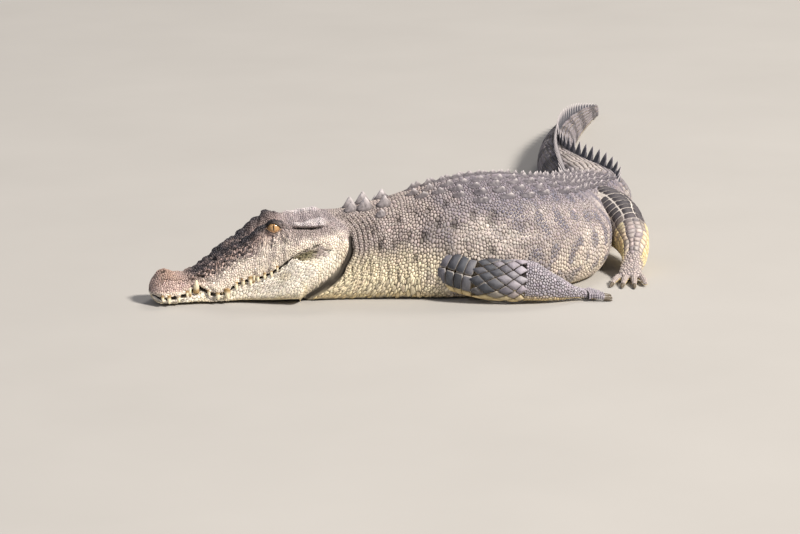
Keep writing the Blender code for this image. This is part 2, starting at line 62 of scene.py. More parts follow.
# Metres, then degrees above the ground and degrees of roll, and the lens and sensor in millimetres.
CAMERA_DISTANCE, CAMERA_ELEVATION, CAMERA_ROLL = 12.0, 13.5, -1.0
LENS, SENSOR = 162.0, 36.0


def paint(code):
    """An sRGB hex colour as linear red, green and blue."""
    share = np.array([int(code[i:i + 2], 16) for i in (1, 3, 5)]) / 255
    return np.where(share <= 0.04045, share / 12.92, ((share + 0.055) / 1.055) ** 2.4)


def add(tree, kind, sockets=None, **settings):
    """Adds a shader node: settings are its own properties, and sockets maps its inputs to values or links."""
    made = tree.nodes.new("ShaderNode" + kind)
    for key, value in settings.items():
        setattr(made, key, value)
    for key, value in (sockets or {}).items():
        if isinstance(value, bpy.types.NodeSocket):
            tree.links.new(value, made.inputs[key])
        else:
            made.inputs[key].default_value = value
    return made


def blank_material(name):
    """A material with only its output and a Principled shader, as (material, tree, shader)."""
    made = bpy.data.materials.new(name)
    made.use_nodes = True
    return made, made.node_tree, made.node_tree.nodes["Principled BSDF"]


def lamp(name, azimuth, elevation, distance, size, power, colour):
    """An area lamp that looks at the animal from an azimuth, counted from the camera towards its right."""
    light = bpy.data.lights.new(name, "AREA")
    light.shape, light.size, light.energy, light.color = "DISK", size, power, tuple(paint(colour))
    made = bpy.data.objects.new(name, light)
    turn, tilt = math.radians(azimuth), math.radians(elevation)
    away = np.array([math.sin(turn) * math.cos(tilt), -math.cos(turn) * math.cos(tilt), math.sin(tilt)])
    made.location = np.array(AIM) + away * distance
    face(made, AIM)
    bpy.context.scene.collection.objects.link(made)


def face(made, target):
    """Turns a lamp or a camera to look at a point."""
    direction = made.location.copy()
    direction.x, direction.y, direction.z = (t - c for t, c in zip(target, made.location))
    made.rotation_euler = direction.to_track_quat("-Z", "Y").to_euler()


def floor_material():
    """Pale matt floor paint, which gives a soft even ground with faint mottling."""
    made, tree, shader = blank_material("matt_floor_paint")
    place = add(tree, "TexCoord").outputs["Object"]
    cloud = add(tree, "TexNoise", {"Vector": place, "Scale": 1.5, "Detail": 3.0})
    ramp = add(tree, "ValToRGB", {"Fac": cloud.outputs["Fac"]})
    ramp.color_ramp.elements[0].color = (*paint("#aaa8a5"), 1)
    ramp.color_ramp.elements[1].color = (*paint("#b3b1ae"), 1)
    tree.links.new(ramp.outputs["Color"], shader.inputs["Base Color"])
    shader.inputs["Roughness"].default_value = 0.85
    return made


floor_mesh = bpy.data.meshes.new("floor")
floor_mesh.from_pydata(
    [(x * FLOOR_REACH, y * FLOOR_REACH, FLOOR_LEVEL) for x, y in ((-1, -1), (1, -1), (1, 1), (-1, 1))],
    [], [(0, 1, 2, 3)],
)
floor_mesh.materials.append(floor_material())
floor = bpy.data.objects.new("floor", floor_mesh)
bpy.context.scene.collection.objects.link(floor)

# Azimuth and elevation in degrees, distance and size in metres, and power in watts.
lamp("key", 56, 42, 40.0, 6.5, 28100, "#fff7ec")
lamp("fill", -50, 35, 28.0, 16.0, 600, "#dfe6ff")
lamp("back", 150, 50, 30.0, 10.0, 2600, "#fff6ea")

world = bpy.data.worlds.new("pale_room")
world.use_nodes = True
world.node_tree.nodes["Background"].inputs["Color"].default_value = (*paint("#e4e6f0"), 1)
world.node_tree.nodes["Background"].inputs["Strength"].default_value = 0.27
bpy.context.scene.world = world
bpy.context.scene.view_settings.view_transform = "Standard"

camera = bpy.data.objects.new("camera", bpy.data.cameras.new("camera"))
camera.data.lens, camera.data.sensor_width = LENS, SENSOR
rise = math.radians(CAMERA_ELEVATION)
camera.location = (
    AIM[0], AIM[1] - CAMERA_DISTANCE * math.cos(rise), AIM[2] + CAMERA_DISTANCE * math.sin(rise)
)
face(camera, AIM)
camera.rotation_euler.rotate_axis("Z", math.radians(CAMERA_ROLL))
bpy.context.scene.collection.objects.link(camera)
bpy.context.scene.camera = camera

# ---- the body's shape ----------------------------------------
# The animal's own form, from snout to tail tip, as a grid of points that the skin and all the scales
# are then read from. A place on it is a station, the distance from the snout along the spine, and a
# turn: 0 on the middle of the back, 0.5 on the left flank, -0.5 on the right, and 1 under the belly.
BODY_LENGTH = 4.20
SNOUT_TIP = (-0.84, 0.0)
# One wave in radians, and the metres in a turn of 1: both rough, for relief and markings.
CYCLE, METRES_PER_TURN = 6.28, 0.42
# Station, and the spine's heading in degrees: 0 runs along +X and 90 along +Y.
HEADING = (
    (0.0, 15), (0.30, 12.5), (0.60, 9), (0.87, 6), (1.03, 12), (1.18, 34), (1.32, 56), (1.46, 66),
    (1.66, 60), (1.82, 66), (2.00, 84), (2.20, 96), (2.50, 97), (3.10, 86), (3.70, 78), (4.20, 72),
)
# Station and half width of the upper jaw at the lip, and station and height of the middle of the top.
JAW_WIDTH = (
    (0, .054), (.03, .066), (.07, .070), (.11, .066), (.155, .058), (.21, .090), (.25, .096),
    (.30, .101), (.38, .128), (.46, .163), (.54, .184), (.62, .188), (.75, .190),
)
TOP = (
    (0, .088), (.03, .100), (.06, .106), (.10, .100), (.15, .108), (.20, .135), (.27, .172),
    (.33, .197), (.38, .212), (.43, .221), (.50, .243), (.57, .262), (.75, .285),
)
# The lip's height dips and climbs along the jaw, as the teeth need.
LIP = (
    (0, .030), (.07, .030), (.11, .036), (.155, .056), (.205, .036), (.24, .040), (.29, .072),
    (.33, .084), (.38, .100), (.425, .128), (.47, .165), (.54, .182), (.75, .190),
)
# The edge of the head's flat top: its half width, and how far it stands above the middle.
RIM_WIDTH = (
    (0, .036), (.06, .044), (.13, .042), (.20, .056), (.27, .060), (.33, .064), (.38, .071),
    (.43, .077), (.50, .090), (.57, .100), (.75, .110),
)
RIM_RISE = (
    (0, -.010), (.06, -.008), (.13, -.008), (.20, -.006), (.27, .004), (.33, .014), (.38, .042),
    (.43, .054), (.48, .022), (.57, .002), (.75, -.012),
)
# Half width of the lower jaw and the jowl.
JOWL_WIDTH = (
    (0, .050), (.07, .058), (.12, .066), (.16, .072), (.21, .080), (.30, .098), (.38, .136),
    (.46, .176), (.54, .195), (.62, .198), (.75, .198),
)
# The tip of the snout is rounded over this length, about this height.
SNOUT_ROUND, SNOUT_ROUND_HEIGHT = 0.05, 0.045
LIP_GROOVE = 0.006
# Turns of the ten lines that the head's sections are drawn through.
RAILS = (0.0, 0.12, 0.24, 0.37, 0.47, 0.50, 0.53, 0.70, 0.87, 1.0)
# Station, half width, height of the back, height of the widest place.
BODY = (
    (0.40, .150, .235, .110), (0.60, .160, .268, .115), (0.70, .172, .288, .118),
    (0.80, .190, .308, .120), (0.90, .212, .334, .122), (1.02, .242, .360, .124),
    (1.14, .272, .368, .126), (1.26, .298, .356, .126), (1.37, .310, .335, .122),
    (1.48, .268, .308, .122), (1.60, .215, .283, .120), (1.72, .180, .264, .118),
    (1.84, .166, .248, .116), (2.00, .150, .228, .106), (2.25, .128, .200, .094),
    (2.50, .106, .176, .082), (2.80, .085, .156, .072), (3.10, .066, .138, .062),
    (3.50, .044, .112, .050), (3.90, .025, .080, .034), (4.20, .010, .045, .020),
)
# The shield of back scutes: its first and last station, and the turns of its keels.
SHIELD_START, SHIELD_END = 0.87, 1.91
KEEL_SPREAD = (0.045, 0.10, 0.15, 0.20)
COAT_DEPTH = 0.0030
# Upper teeth: station, length past the lip, radius at the root. The lip swells over the stout ones.
UPPER_TEETH = (
    (.034, .013, .0048), (.055, .020, .0062), (.088, .020, .0060), (.118, .013, .0048), (.190, .014, .0050),
    (.218, .020, .0064), (.250, .029, .0086), (.280, .017, .0058), (.304, .018, .0058), (.328, .022, .0066),
    (.352, .015, .0052), (.374, .014, .0050), (.396, .015, .0050), (.416, .010, .0040),
)
STOUT_TOOTH = 0.0049
# An eye's station, the ball's radius, the lids' thickness, and the opening's reach to its corners on a
# ball of radius 1.
EYE_STATION, EYE_RADIUS, LID_THICK, LID_CORNER = 0.420, 0.023, 0.0066, 0.94


def flow(knots, values, x):
    """A smooth curve through values at knots, read at x: cubic Hermite pieces with parabolic slopes."""
    knots, values = np.asarray(knots, float), np.asarray(values, float)
    x = np.clip(np.asarray(x, float), knots[0], knots[-1])
    slopes = np.gradient(values, knots, axis=0)
    i = np.clip(np.searchsorted(knots, x, side="right") - 1, 0, len(knots) - 2)
    width = knots[i + 1] - knots[i]
    t = (x - knots[i]) / width
    shape = t.shape + (1,) * (values.ndim - 1)
    t, width = t.reshape(shape), width.reshape(shape)
    start, end = values[i], values[i + 1]
    return (
        start * (1 + 2 * t) * (1 - t) ** 2 + slopes[i] * width * t * (1 - t) ** 2
        + end * t * t * (3 - 2 * t) - slopes[i + 1] * width * t * t * (1 - t)
    )


def read(table, x):
    """Reads a table of (station, value, ...) rows at x."""
    rows = np.array(table, float)
    values = rows[:, 1] if rows.shape[1] == 2 else rows[:, 1:]
    return flow(rows[:, 0], values, x)


def ease(x, low, high):
    """0 below low, 1 above high, and smooth between."""
    t = np.clip((x - low) / (high - low), 0, 1)
    return t * t * (3 - 2 * t)


def hill(x, middle, spread):
    """A smooth bump of height 1 about a middle, by the bell curve of the distance over the spread."""
    return np.exp(-(((x - middle) / spread) ** 2))


def window(x, low, high, soft):
    """1 between low and high, and 0 outside, with soft edges."""
    return ease(x, low - soft, low + soft) * (1 - ease(x, high - soft, high + soft))


FINE = np.linspace(-0.1, BODY_LENGTH + 0.1, 4401)
FINE_HEADING = np.radians(read(HEADING, FINE))


def running(values):
    """The integral of values along FINE, zero at station 0."""
    total = np.concatenate([[0], np.cumsum((values[1:] + values[:-1]) / 2) * (FINE[1] - FINE[0])])
    return total - np.interp(0, FINE, total)


SPINE_X = SNOUT_TIP[0] + PLAN_SHIFT[0] + running(np.cos(FINE_HEADING))
SPINE_Y = SNOUT_TIP[1] + PLAN_SHIFT[1] + running(np.sin(FINE_HEADING))


def place(station, side, height):
    """Points in the world: side is metres to the animal's left of the spine."""
    station, side, height = np.broadcast_arrays(station, side, height)
    angle = np.interp(station, FINE, FINE_HEADING)
    x = np.interp(station, FINE, SPINE_X) + side * np.sin(angle)
    y = np.interp(station, FINE, SPINE_Y) - side * np.cos(angle)
    return np.stack([x, y, height], axis=-1)


def head_half(a, v):
    """Half sections of the head, as (side, height), by a smooth curve across the ten rails."""
    top, lip, jaw = read(TOP, a), read(LIP, a), read(JAW_WIDTH, a)
    rim, rise, jowl = read(RIM_WIDTH, a), read(RIM_RISE, a), read(JOWL_WIDTH, a)
    rim_top = top + rise
    groove = LIP_GROOVE * (1 - ease(a, 0.45, 0.50))
    rails = np.array((
        (0 * a, top), (rim, rim_top),
        (rim + .24 * (jaw - rim), rim_top - .27 * (rim_top - lip)),
        (rim + .74 * (jaw - rim), rim_top - .60 * (rim_top - lip)),
        (jaw, lip + .003), (jaw - groove, lip - .002), (jaw - .35 * groove, lip - .008),
        (jowl, .52 * lip), (.86 * jowl, .10 * lip), (0 * a, 0 * a),
    )).transpose(0, 2, 1)
    knots = (-RAILS[1], *RAILS, 2 - RAILS[-2])
    mirrored = rails * (-1, 1)
    points = flow(knots, np.concatenate([mirrored[1:2], rails, mirrored[-2:-1]]), v)
    reach = np.clip(a / SNOUT_ROUND, 0, 1)
    shrink = (1 - (1 - reach) ** 2.3) ** (1 / 2.3)
    side = points[..., 0] * shrink
    height = SNOUT_ROUND_HEIGHT + (points[..., 1] - SNOUT_ROUND_HEIGHT) * shrink
    return side.T, height.T


def body_half(station, v):
    """Half sections behind the head: a low dome over a belly that is pressed flat on the ground."""
    wide, high, flank = read(BODY, station).T[:, :, None]
    turn = np.pi * v[None, :]
    slim = ease(station, 2.0, 3.2)[:, None]
    up, down = np.clip(np.cos(turn), 0, 1), np.clip(-np.cos(turn), 0, 1)
    out = np.clip(np.sin(turn), 0, 1)
    side = wide * np.where(turn < np.pi / 2, out ** (.92 - .10 * slim), out ** (.62 + .2 * slim))
    sink = .010 + .14 * flank
    return side, flank + (high - flank) * up ** .90 - (flank + sink) * down ** .72


def jowl_edge(v):
    """The station where the jowl ends and the neck begins, which leans forward to throat and nape."""
    return 0.665 - 0.17 * ease(v, 0.38, 0.84) - 0.05 * (1 - ease(v, 0.0, 0.3))


def half_section(station, v):
    """(side, height) of the whole body's left half, without scutes."""
    body_side, body_height = body_half(station, v)
    head_side, head_height = head_half(station, v)
    soft = 0.008 + 0.058 * (1 - ease(v, 0.15, 0.45))
    share = ease(station[:, None], (jowl_edge(v) - soft)[None, :], (jowl_edge(v) + soft)[None, :])
    side = head_side + share * (body_side - head_side)
    return side, head_height + share * (body_height - head_height)


Ground = namedtuple("Ground", "along around points normals groove")


def unit(vectors):
    """Vectors brought to length 1."""
    return vectors / (np.linalg.norm(vectors, axis=-1, keepdims=True) + 1e-12)


def facing(points):
    """Outward unit normals of a grid: the cross product of its slopes around and along."""
    return unit(np.cross(np.gradient(points, axis=1), np.gradient(points, axis=0)))


def touch(ground, along, turn):
    """Points, unit normals and groove depth at (along, turn), blended from the four nearest grid points."""
    along, turn = np.broadcast_arrays(along, (np.asarray(turn) + 1) % 2 - 1)
    i = np.interp(along, ground.along, np.arange(len(ground.along)))
    j = np.interp(turn, ground.around, np.arange(len(ground.around)))
    i0 = np.minimum(i.astype(int), len(ground.along) - 2)
    j0 = np.minimum(j.astype(int), len(ground.around) - 2)
    u, w = i - i0, j - j0

    def blend(grid):
        low = grid[i0, j0] * (1 - w)[..., None] + grid[i0, j0 + 1] * w[..., None]
        high = grid[i0 + 1, j0] * (1 - w)[..., None] + grid[i0 + 1, j0 + 1] * w[..., None]
        return low * (1 - u)[..., None] + high * u[..., None]

    return blend(ground.points), unit(blend(ground.normals)), blend(ground.groove[..., None])[..., 0]


def rumple(station, turn, size, seed):
    """Soft uneven swelling between -1 and 1: a sum of sine waves that cross at random angles."""
    dice = np.random.default_rng(seed)
    total = 0
    for _ in range(7):
        angle, phase, stretch = dice.uniform(0, np.pi), dice.uniform(0, CYCLE), dice.uniform(.7, 1.5)
        wave = np.cos(angle) * station + np.sin(angle) * turn * METRES_PER_TURN
        total = total + np.sin(CYCLE * wave / (size * stretch) + phase)
    return total / 4.2


def table_line(station):
    """The turn at which the raised edge of the skull table runs, nearer the middle towards its rear."""
    return .126 - .050 * ease(station, .47, .585)


def table_foot(station):
    """The turn at which the wall under the table's edge ends, in the ear's slit."""
    return table_line(station) + .045 + .075 * ease(station, .48, .575)


def table_wall(station, v):
    """1 on the skull table's raised edge and the wall below it, which grows taller to the rear."""
    across = window(v, table_line(station) - .008, table_foot(station), .014)
    return across * window(station, .480, .588, .012)


def mouth_line(station):
    """The turn of the line between the lips, which climbs the cheek as a fold behind their corner."""
    return .500 - .085 * ease(station, .446, .560)


def mouth_corner(station, v):
    """1 in the soft hollow behind the corner of the mouth, which opens to the rear above the jowl."""
    foot = .500 + .075 * ease(station, .450, .500)
    return window(v, mouth_line(station) + .014, foot, .014) * window(station, .466, .580, .016)


def under_eye_wrinkles(station, v):
    """Short upright wrinkles of the cheek below the eye, from -1 in a crease to 1 between two."""
    wave = np.cos(CYCLE * (station + .10 * v + .0012 * np.sin(60 * v)) / .0105)
    return wave * window(station, .390, .500, .02) * window(v, .270, .350, .025)


def face_relief(station, v, side):
    """How far the head's features stand off its plain form, and how deep its grooves are."""
    snout = 1 - ease(station, .40, .46)
    face = window(station, .02, .62, .04) * (1 - ease(v, .55, .7))
    shape = .0030 * rumple(station, v, .036, 3) * face + .0014 * rumple(station, v, .016, 4) * face
    rough = window(station, .12, .42, .04) * (1 - ease(v, .26, .38))
    shape = shape + .0034 * rumple(station, v, .021, 9) * rough
    top = 1 - ease(v, .16, .24)
    mound = .008 * hill(station, .050, .026) * hill(side, 0, .036) * top
    nostril = hill(station, .046, .0085) * hill(side, .0165, .0050) * top
    nostril_rim = hill(station, .046, .017) * hill(side, .0165, .013) * top
    ridge_side = .028 + .036 * ease(station, .20, .38)
    ridge = .010 * hill(side, ridge_side, .009) * window(station, .22, .385, .03) * top
    table = .0085 * table_wall(station, v)
    ear = hill(v, table_foot(station) + .022, .0085) * window(station, .484, .572, .016)
    lips = window(v, .40, .60, .03) * (1 - ease(station, .43, .47))
    sockets = sum(hill(station, tooth, .0085) for tooth, _, size in UPPER_TEETH if size > STOUT_TOOTH)
    lobe_rows = hill(v, .440, .042) + .7 * hill(v, .548, .022)
    bead_rows = hill(v, .468, .016) + hill(v, .535, .015)
    lobes = .0034 * sockets * hill(v, .462, .026) * lips
    lobes = lobes + .0030 * np.cos(CYCLE * station / .0460 + 1.0) * lobe_rows * lips
    lobes = lobes + .0018 * np.cos(CYCLE * station / .0215) * bead_rows * lips
    line = mouth_line(station)
    mouth = hill(v, line, .0062) * (1 - ease(station, .452, .470)) * ease(station, .0, .006)
    fold = hill(v, line, .0110) * window(station, .458, .560, .016)
    pouch = .008 * hill(v, .610, .045) * window(station, .450, .550, .03)
    corner = .0045 * mouth_corner(station, v)
    cord = .0050 * hill(v, line - .026, .013) * window(station, .462, .590, .02)
    brim = .006 * hill(station, jowl_edge(v) - .016, .014) * window(v, .36, .84, .05)
    under_eye = .0013 * under_eye_wrinkles(station, v)
    bumps = .0022 * np.cos(CYCLE * station / .0165) * hill(v, .285, .013) * window(station, .33, .50, .03)
    shape = shape + mound + .0045 * nostril_rim + ridge + table + lobes + pouch + brim + under_eye + bumps
    shape = shape + cord - corner - .015 * nostril - .006 * ear - .008 * mouth - .0052 * fold
    shape = shape * ease(station, -.010, .020)
    groove = np.clip(nostril + .56 * ear + .72 * mouth + .60 * fold, 0, 1)
    pits = .42 * ease(-rumple(station, v, .021, 9), .25, 1.0) * rough * snout
    return shape, np.maximum(groove, pits)


def neck_relief(station, v):
    """The deep crease behind the jowl, the close folds of loose skin that ring the neck behind it, and
    the wide folds of the throat. Returns their depth as grooves too."""
    behind = station - jowl_edge(v)
    jowl = hill(behind, .0095, .0058) * window(v, .30, .97, .05)
    ring = behind + .004 * np.sin(9 * v)
    folds = (1 - np.abs(np.sin(np.pi * ring / .0170))) ** 3 * window(behind, .018, .115, .014)
    folds = folds * window(v, .12, .58, .08)
    bent = station + .022 * np.cos(7 * v) + .006 * np.sin(19 * v)
    wide = (1 - np.abs(np.sin(np.pi * bent / .031))) ** 3
    wide = wide * window(station, .60, .98, .05) * window(v, .46, .92, .07) * window(behind, .02, .8, .01)
    groove = np.clip(jowl + np.maximum(.58 * folds, .38 * wide), 0, 1)
    return -.014 * jowl - .0060 * folds - .0048 * wide, groove


def body_relief(station, v):
    """Swellings of flank and hip, creases where the body bends, rough pits on the shoulder, and low
    ridges under the keels. Returns the depth of the creases and pits as grooves too."""
    bend = window(station, .98, 1.20, .06) * window(v, .30, .46, .05)
    wave = v * .42 + .035 * station + .010 * np.sin(14 * station) + .004 * np.sin(37 * station)
    creases = (1 - np.abs(np.sin(np.pi * wave / .020))) ** 2.5 * bend
    keels = sum(hill(v, spread, .012) for spread in KEEL_SPREAD)
    shape = .003 * keels * window(station, SHIELD_START, SHIELD_END, .05) - .0036 * creases
    behind = ease(station, .72, .90) * (1 - ease(station, 2.4, 2.8))
    shape = shape + .0040 * rumple(station, v, .15, 8) * behind * window(v, .2, .8, .15)
    shoulder = window(station, .74, 1.12, .05) * window(v, .10, .52, .08)
    pits = ease(rumple(station, v, .040, 12), .35, .95) * shoulder
    shape = shape + .0035 * rumple(station, v, .060, 14) * shoulder - .004 * pits
    return shape, .30 * creases + .40 * pits


def eye_axes(side_name):
    """An eye's centre, and its three directions: the gaze, forward across it, and up across it."""
    low, high = (np.array(corner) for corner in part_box(f"{side_name}_eye"))
    sign = 1 if side_name == "left" else -1
    angle = np.interp(EYE_STATION, FINE, FINE_HEADING)
    ahead = np.array([-math.cos(angle), -math.sin(angle), 0])
    out = sign * np.array([math.sin(angle), -math.cos(angle), 0])
    gaze = unit(out + .22 * ahead + .20 * np.array([0, 0, 1.0]))
    forward = unit(ahead - gaze * (ahead @ gaze))
    return (low + high) / 2, gaze, forward, unit(np.cross(gaze, forward)) * (-sign)


def eye_place(points, side_name):
    """Where points lie round an eye: distance from its centre, the directions forward, up and along the
    gaze as parts of a unit ray, and how far outside the almond between the lids."""
    centre, gaze, forward, up = eye_axes(side_name)
    offset = points - centre
    radius = np.linalg.norm(offset, axis=-1)
    ray = offset / (radius[..., None] + 1e-9)
    a, b, c = ray @ forward, ray @ up, ray @ gaze
    tilted = b - .10 * a
    bow = np.clip(1 - (np.clip(np.abs(a), 0, LID_CORNER) / LID_CORNER) ** 2, 0, 1) ** 1.2
    margin = np.abs(tilted) - np.where(tilted > 0, .44, .46) * bow
    past = np.abs(a) - LID_CORNER
    margin = np.where(past > 0, np.abs(tilted) + .25 * past, margin)
    return radius, ray, a, tilted, c, margin


def lidded(points, side_name):
    """Draws the skin over an eyeball: onto a ball a lid's thickness larger, with rolled lids and a brow,
    except between the lids, where it sinks behind the eye. Returns the groove depth too."""
    centre = eye_axes(side_name)[0]
    radius, ray, a, b, c, margin = eye_place(points, side_name)
    near = 1 - ease(radius, .035, .056)
    opening = ease(-margin, -.02, .06) * (c > 0)
    rolls = .0016 * hill(margin, .09, .06) + .0012 * hill(margin, .34, .06) - .0016 * hill(margin, .21, .045)
    brow = .0045 * hill(b, .72, .16) * (1 - .5 * ease(-a, .2, .8))
    bag = .0024 * hill(b, -.72, .14) - .0020 * hill(b, -.56, .05)
    target = EYE_RADIUS + LID_THICK + (rolls + brow + bag) * (1 - opening) - .016 * opening
    covered = np.maximum(radius, EYE_RADIUS + LID_THICK)
    share = near * ease(c, .02, .42)
    moved = centre + ray * (covered + share * (target - covered))[..., None]
    crease = share * np.maximum(.38 * hill(margin, .21, .045), opening)
    return moved, np.clip(crease, 0, 1)


HEAD_GRID_END, HEAD_GRID, BODY_GRID = 0.72, 0.0015, 0.004


def body_ground():
    """The whole body's grid: closest on the rounded snout, 1.5 mm apart on the head, then 4 mm."""
    tip = SNOUT_ROUND * (1 - np.cos(np.linspace(0.02, 1, 30) * np.pi / 2))
    head = np.arange(SNOUT_ROUND + HEAD_GRID, HEAD_GRID_END, HEAD_GRID)
    station = np.concatenate([tip, head, np.arange(HEAD_GRID_END, BODY_LENGTH - .0001, BODY_GRID)])
    v = np.linspace(0, 1, 401)
    side, height = half_section(station, v)
    side[:, 0] = side[:, -1] = 0
    grid, turn = station[:, None], v[None, :]
    face_shape, face_groove = face_relief(grid, turn, side)
    neck_shape, neck_groove = neck_relief(grid, turn)
    trunk_shape, trunk_groove = body_relief(grid, turn)
    shape = face_shape + neck_shape + trunk_shape
    groove = np.maximum(np.maximum(face_groove, neck_groove), trunk_groove)
    side = np.concatenate([-side[:, :0:-1], side], axis=1)
    height, shape, groove = (np.concatenate([g[:, :0:-1], g], axis=1) for g in (height, shape, groove))
    around = np.concatenate([-v[:0:-1], v])
    points = place(grid, side, np.maximum(height, 0))
    points = points + facing(points) * shape[..., None]
    for side_name in ("left", "right"):
        points, crease = lidded(points, side_name)
        groove = np.maximum(groove, crease)
    points[..., 2] = np.maximum(points[..., 2], 0)
    return Ground(station, around, points, facing(points), groove)


body = body_ground()

# ---- the hide's colours --------------------------------------
# Dry crocodile hide is mauve grey above and cream below, without a sharp line between. On trunk, tail
# and legs the soft skin shows as a pale net between darker scales, and on head and neck as dark cracks.
# The same functions of the place on the body paint the skin and the scales. Creases, folds and pits are
# darkened as painted shade, and a painted shadow lies along the top of the snout in front of the eyes.
SNOUT_PINK, MOUND, SLATE, SKULL = paint("#bca59e"), paint("#94796a"), paint("#2a2830"), paint("#a19698")
CHEEK, CHEEK_GREY, LIPS = paint("#e3d7cb"), paint("#a69996"), paint("#e6d9c9")
# The third colour on the next line is painted shade, laid into creases, folds, pits and nostrils.
JOWL, JOWL_LOW, CREASE_SHADE = paint("#f6eee0"), paint("#e4d2a4"), paint("#2e2823")
NECK, NECK_DARK, NECK_CRACK, NECK_LOW = paint("#aa9e9a"), paint("#7a6f6d"), paint("#71645c"), paint("#f3e6c8")
SPOT, BLUE_SPOT, NET, BELLY = paint("#958b8e"), paint("#62606f"), paint("#d6ccc4"), paint("#dfca98")
BACK, PALE_SCUTE = paint("#827b84"), paint("#d3ccce")
TAIL_SPOT, TAIL_NET = paint("#7d777c"), paint("#bfb4a6")
# The last colour on the next line is painted shade for the hollow behind the mouth's corner.
LOWER_LID, LID_RIM, CORNER = paint("#c9a07c"), paint("#2a211d"), paint("#7b7356")


def mix(one, other, share):
    """Blends two colours, or two lists of colours, by a share for each place."""
    share = np.clip(np.asarray(share, float), 0, 1)[..., None]
    return one * (1 - share) + other * share


def head_colours(station, v, patch, fleck):
    """(scale, net) colours of the head: a painted shadow in slate along the top in front of the eyes,
    pinkish snout, pale cheeks, cream jowls, and painted shade in the wrinkles below the eye and in the
    hollow behind the mouth's corner.
    """
    head = mix(SNOUT_PINK, SKULL, ease(station, .40, .50))
    pale = mix(CHEEK, CHEEK_GREY, .8 * ease(patch + .4 * fleck, .0, .9) * (1 - ease(v, .36, .45)))
    head = mix(head, pale, ease(v, .20, .36) * ease(station, .10, .24))
    head = mix(head, MOUND, .8 * hill(station, .060, .040) * (1 - ease(v, .14, .26)))
    # Painted shadow: the shadow of the eye bumps, cast forward along the top of the snout, as a slate band.
    middle = .045 + .075 * ease(station, .20, .40)
    band = hill(v, middle, .078) * window(station, .125, .44, .040)
    head = mix(head, SLATE, .98 * band * (.94 + .25 * patch))
    speckled = window(station, .13, .36, .04) * (1 - ease(v, .24, .38))
    head = mix(head, SLATE, .94 * ease(fleck, -.35, .35) * speckled)
    # Painted shadow along the top of the ridge that runs forward from each eye.
    head = mix(head, SLATE, .96 * window(station, .29, .462, .02) * hill(v, .128, .052))
    # Painted shade in the creases of the upright wrinkles below the eye.
    head = mix(head, CHEEK_GREY * .62, .85 * ease(-under_eye_wrinkles(station, v), .1, .9))
    behind_eye = window(station, .46, .62, .03) * window(v, .13, .33, .04)
    head = mix(head, CHEEK_GREY * .92, .85 * behind_eye)
    table = table_wall(station, v)
    head = mix(head, PALE_SCUTE * .98, .76 * table)
    head = mix(head, LIPS, ease(v, .37, .44) * (1 - .35 * ease(fleck, .2, .9)))
    line = mouth_line(station)
    head = mix(head, LIPS, .9 * window(station, .462, .590, .02) * hill(v, line - .026, .014))
    head = mix(head, JOWL, ease(v, .495, .520))
    # Painted shade in the hollow behind the mouth's corner: olive dark at its front, cheek grey to the rear.
    hollow = mix(CORNER, CHEEK_GREY, ease(station + .008 * patch, .520, .570))
    head = mix(head, hollow, .95 * mouth_corner(station, v))
    head = mix(head, JOWL_LOW, ease(v, .72, .90) * .85)
    head = mix(head, JOWL_LOW * .9, .4 * ease(patch, .2, .9) * ease(v, .5, .6))
    dark = mix(mix(head * .45, head * .72, ease(v, .26, .40)), head * .93, ease(v, .49, .55))
    dark = mix(dark, head * .85, np.maximum(table, .6 * behind_eye))
    return head, dark


def trunk_colours(station, v, patch, fleck, cloud):
    """(scale, net) colours of neck and trunk: cracked grey-brown neck, spotted flanks, cream belly."""
    low = ease(v + .02 * patch, .37, .54)
    neck = mix(mix(NECK, NECK_DARK, .85 * ease(patch + .6 * fleck, .1, .9)), NECK_LOW, low)
    neck = mix(neck, BELLY, ease(v, .64, .76))
    crack = mix(NECK_CRACK, NECK_LOW * .66, low)
    spot = mix(SPOT, BLUE_SPOT, .9 * ease(cloud, .15, .6) * (1 - ease(v, .62, .78)))
    spot = mix(spot, NET * .90, .55 * ease(-cloud, -.1, .7) + .30 * ease(fleck, .1, .9))
    spot = mix(BACK, spot, ease(v, .20, .34))
    spot = mix(spot, mix(NET, BELLY, .30), .80 * ease(v, .38, .62) * (1 - .75 * ease(patch, .0, .6)))
    spot = mix(spot, BELLY, ease(v, .70, .82))
    blots = ease(rumple(station, v, .040, 51), .05, .50) * window(v, .14, .62, .06)
    spot = mix(spot, BLUE_SPOT, .80 * blots * ease(station, 1.0, 1.25))
    net = mix(mix(BACK, NET, .45), NET, ease(v, .20, .36))
    net = mix(net, BELLY * .95, ease(v, .62, .80))
    behind = ease(station + .05 * patch, .86, 1.08)
    return mix(neck, spot, behind), mix(crack, net, behind)


def body_colours(station, turn):
    """(scale, net) colours of places on the body, by soft steps between its regions."""
    v = np.abs(turn)
    fleck, patch = rumple(station, turn, .017, 33), rumple(station, turn, .060, 21)
    cloud = rumple(station, turn, .17, 5) + .45 * rumple(station, turn, .065, 6)
    head, head_net = head_colours(station, v, patch, fleck)
    trunk, trunk_net = trunk_colours(station, v, patch, fleck, cloud)
    bars = ease(np.sin(CYCLE * station / .27 + 1.2 * np.sin(5 * turn)) + .5 * patch, -.1, .7)
    tail = mix(mix(TAIL_SPOT, SLATE * 1.2, .7 * bars), mix(BELLY, TAIL_SPOT, .25), ease(v, .62, .84))
    # Painted light: the top of the tail's root, between the two crests, is lightened towards the pale net.
    tail = mix(tail, NET, .45 * (1 - ease(v, .06, .14)) * (1 - ease(station, 2.2, 3.0)))
    tailward = ease(station, 1.84, 2.10)
    scale = mix(trunk, tail, tailward)
    between = mix(trunk_net, mix(TAIL_NET, BELLY, ease(v, .6, .85)), tailward)
    neckward = ease(station, jowl_edge(v) - .010, jowl_edge(v) + .016)
    return mix(head, scale, neckward), mix(head_net, between, neckward)


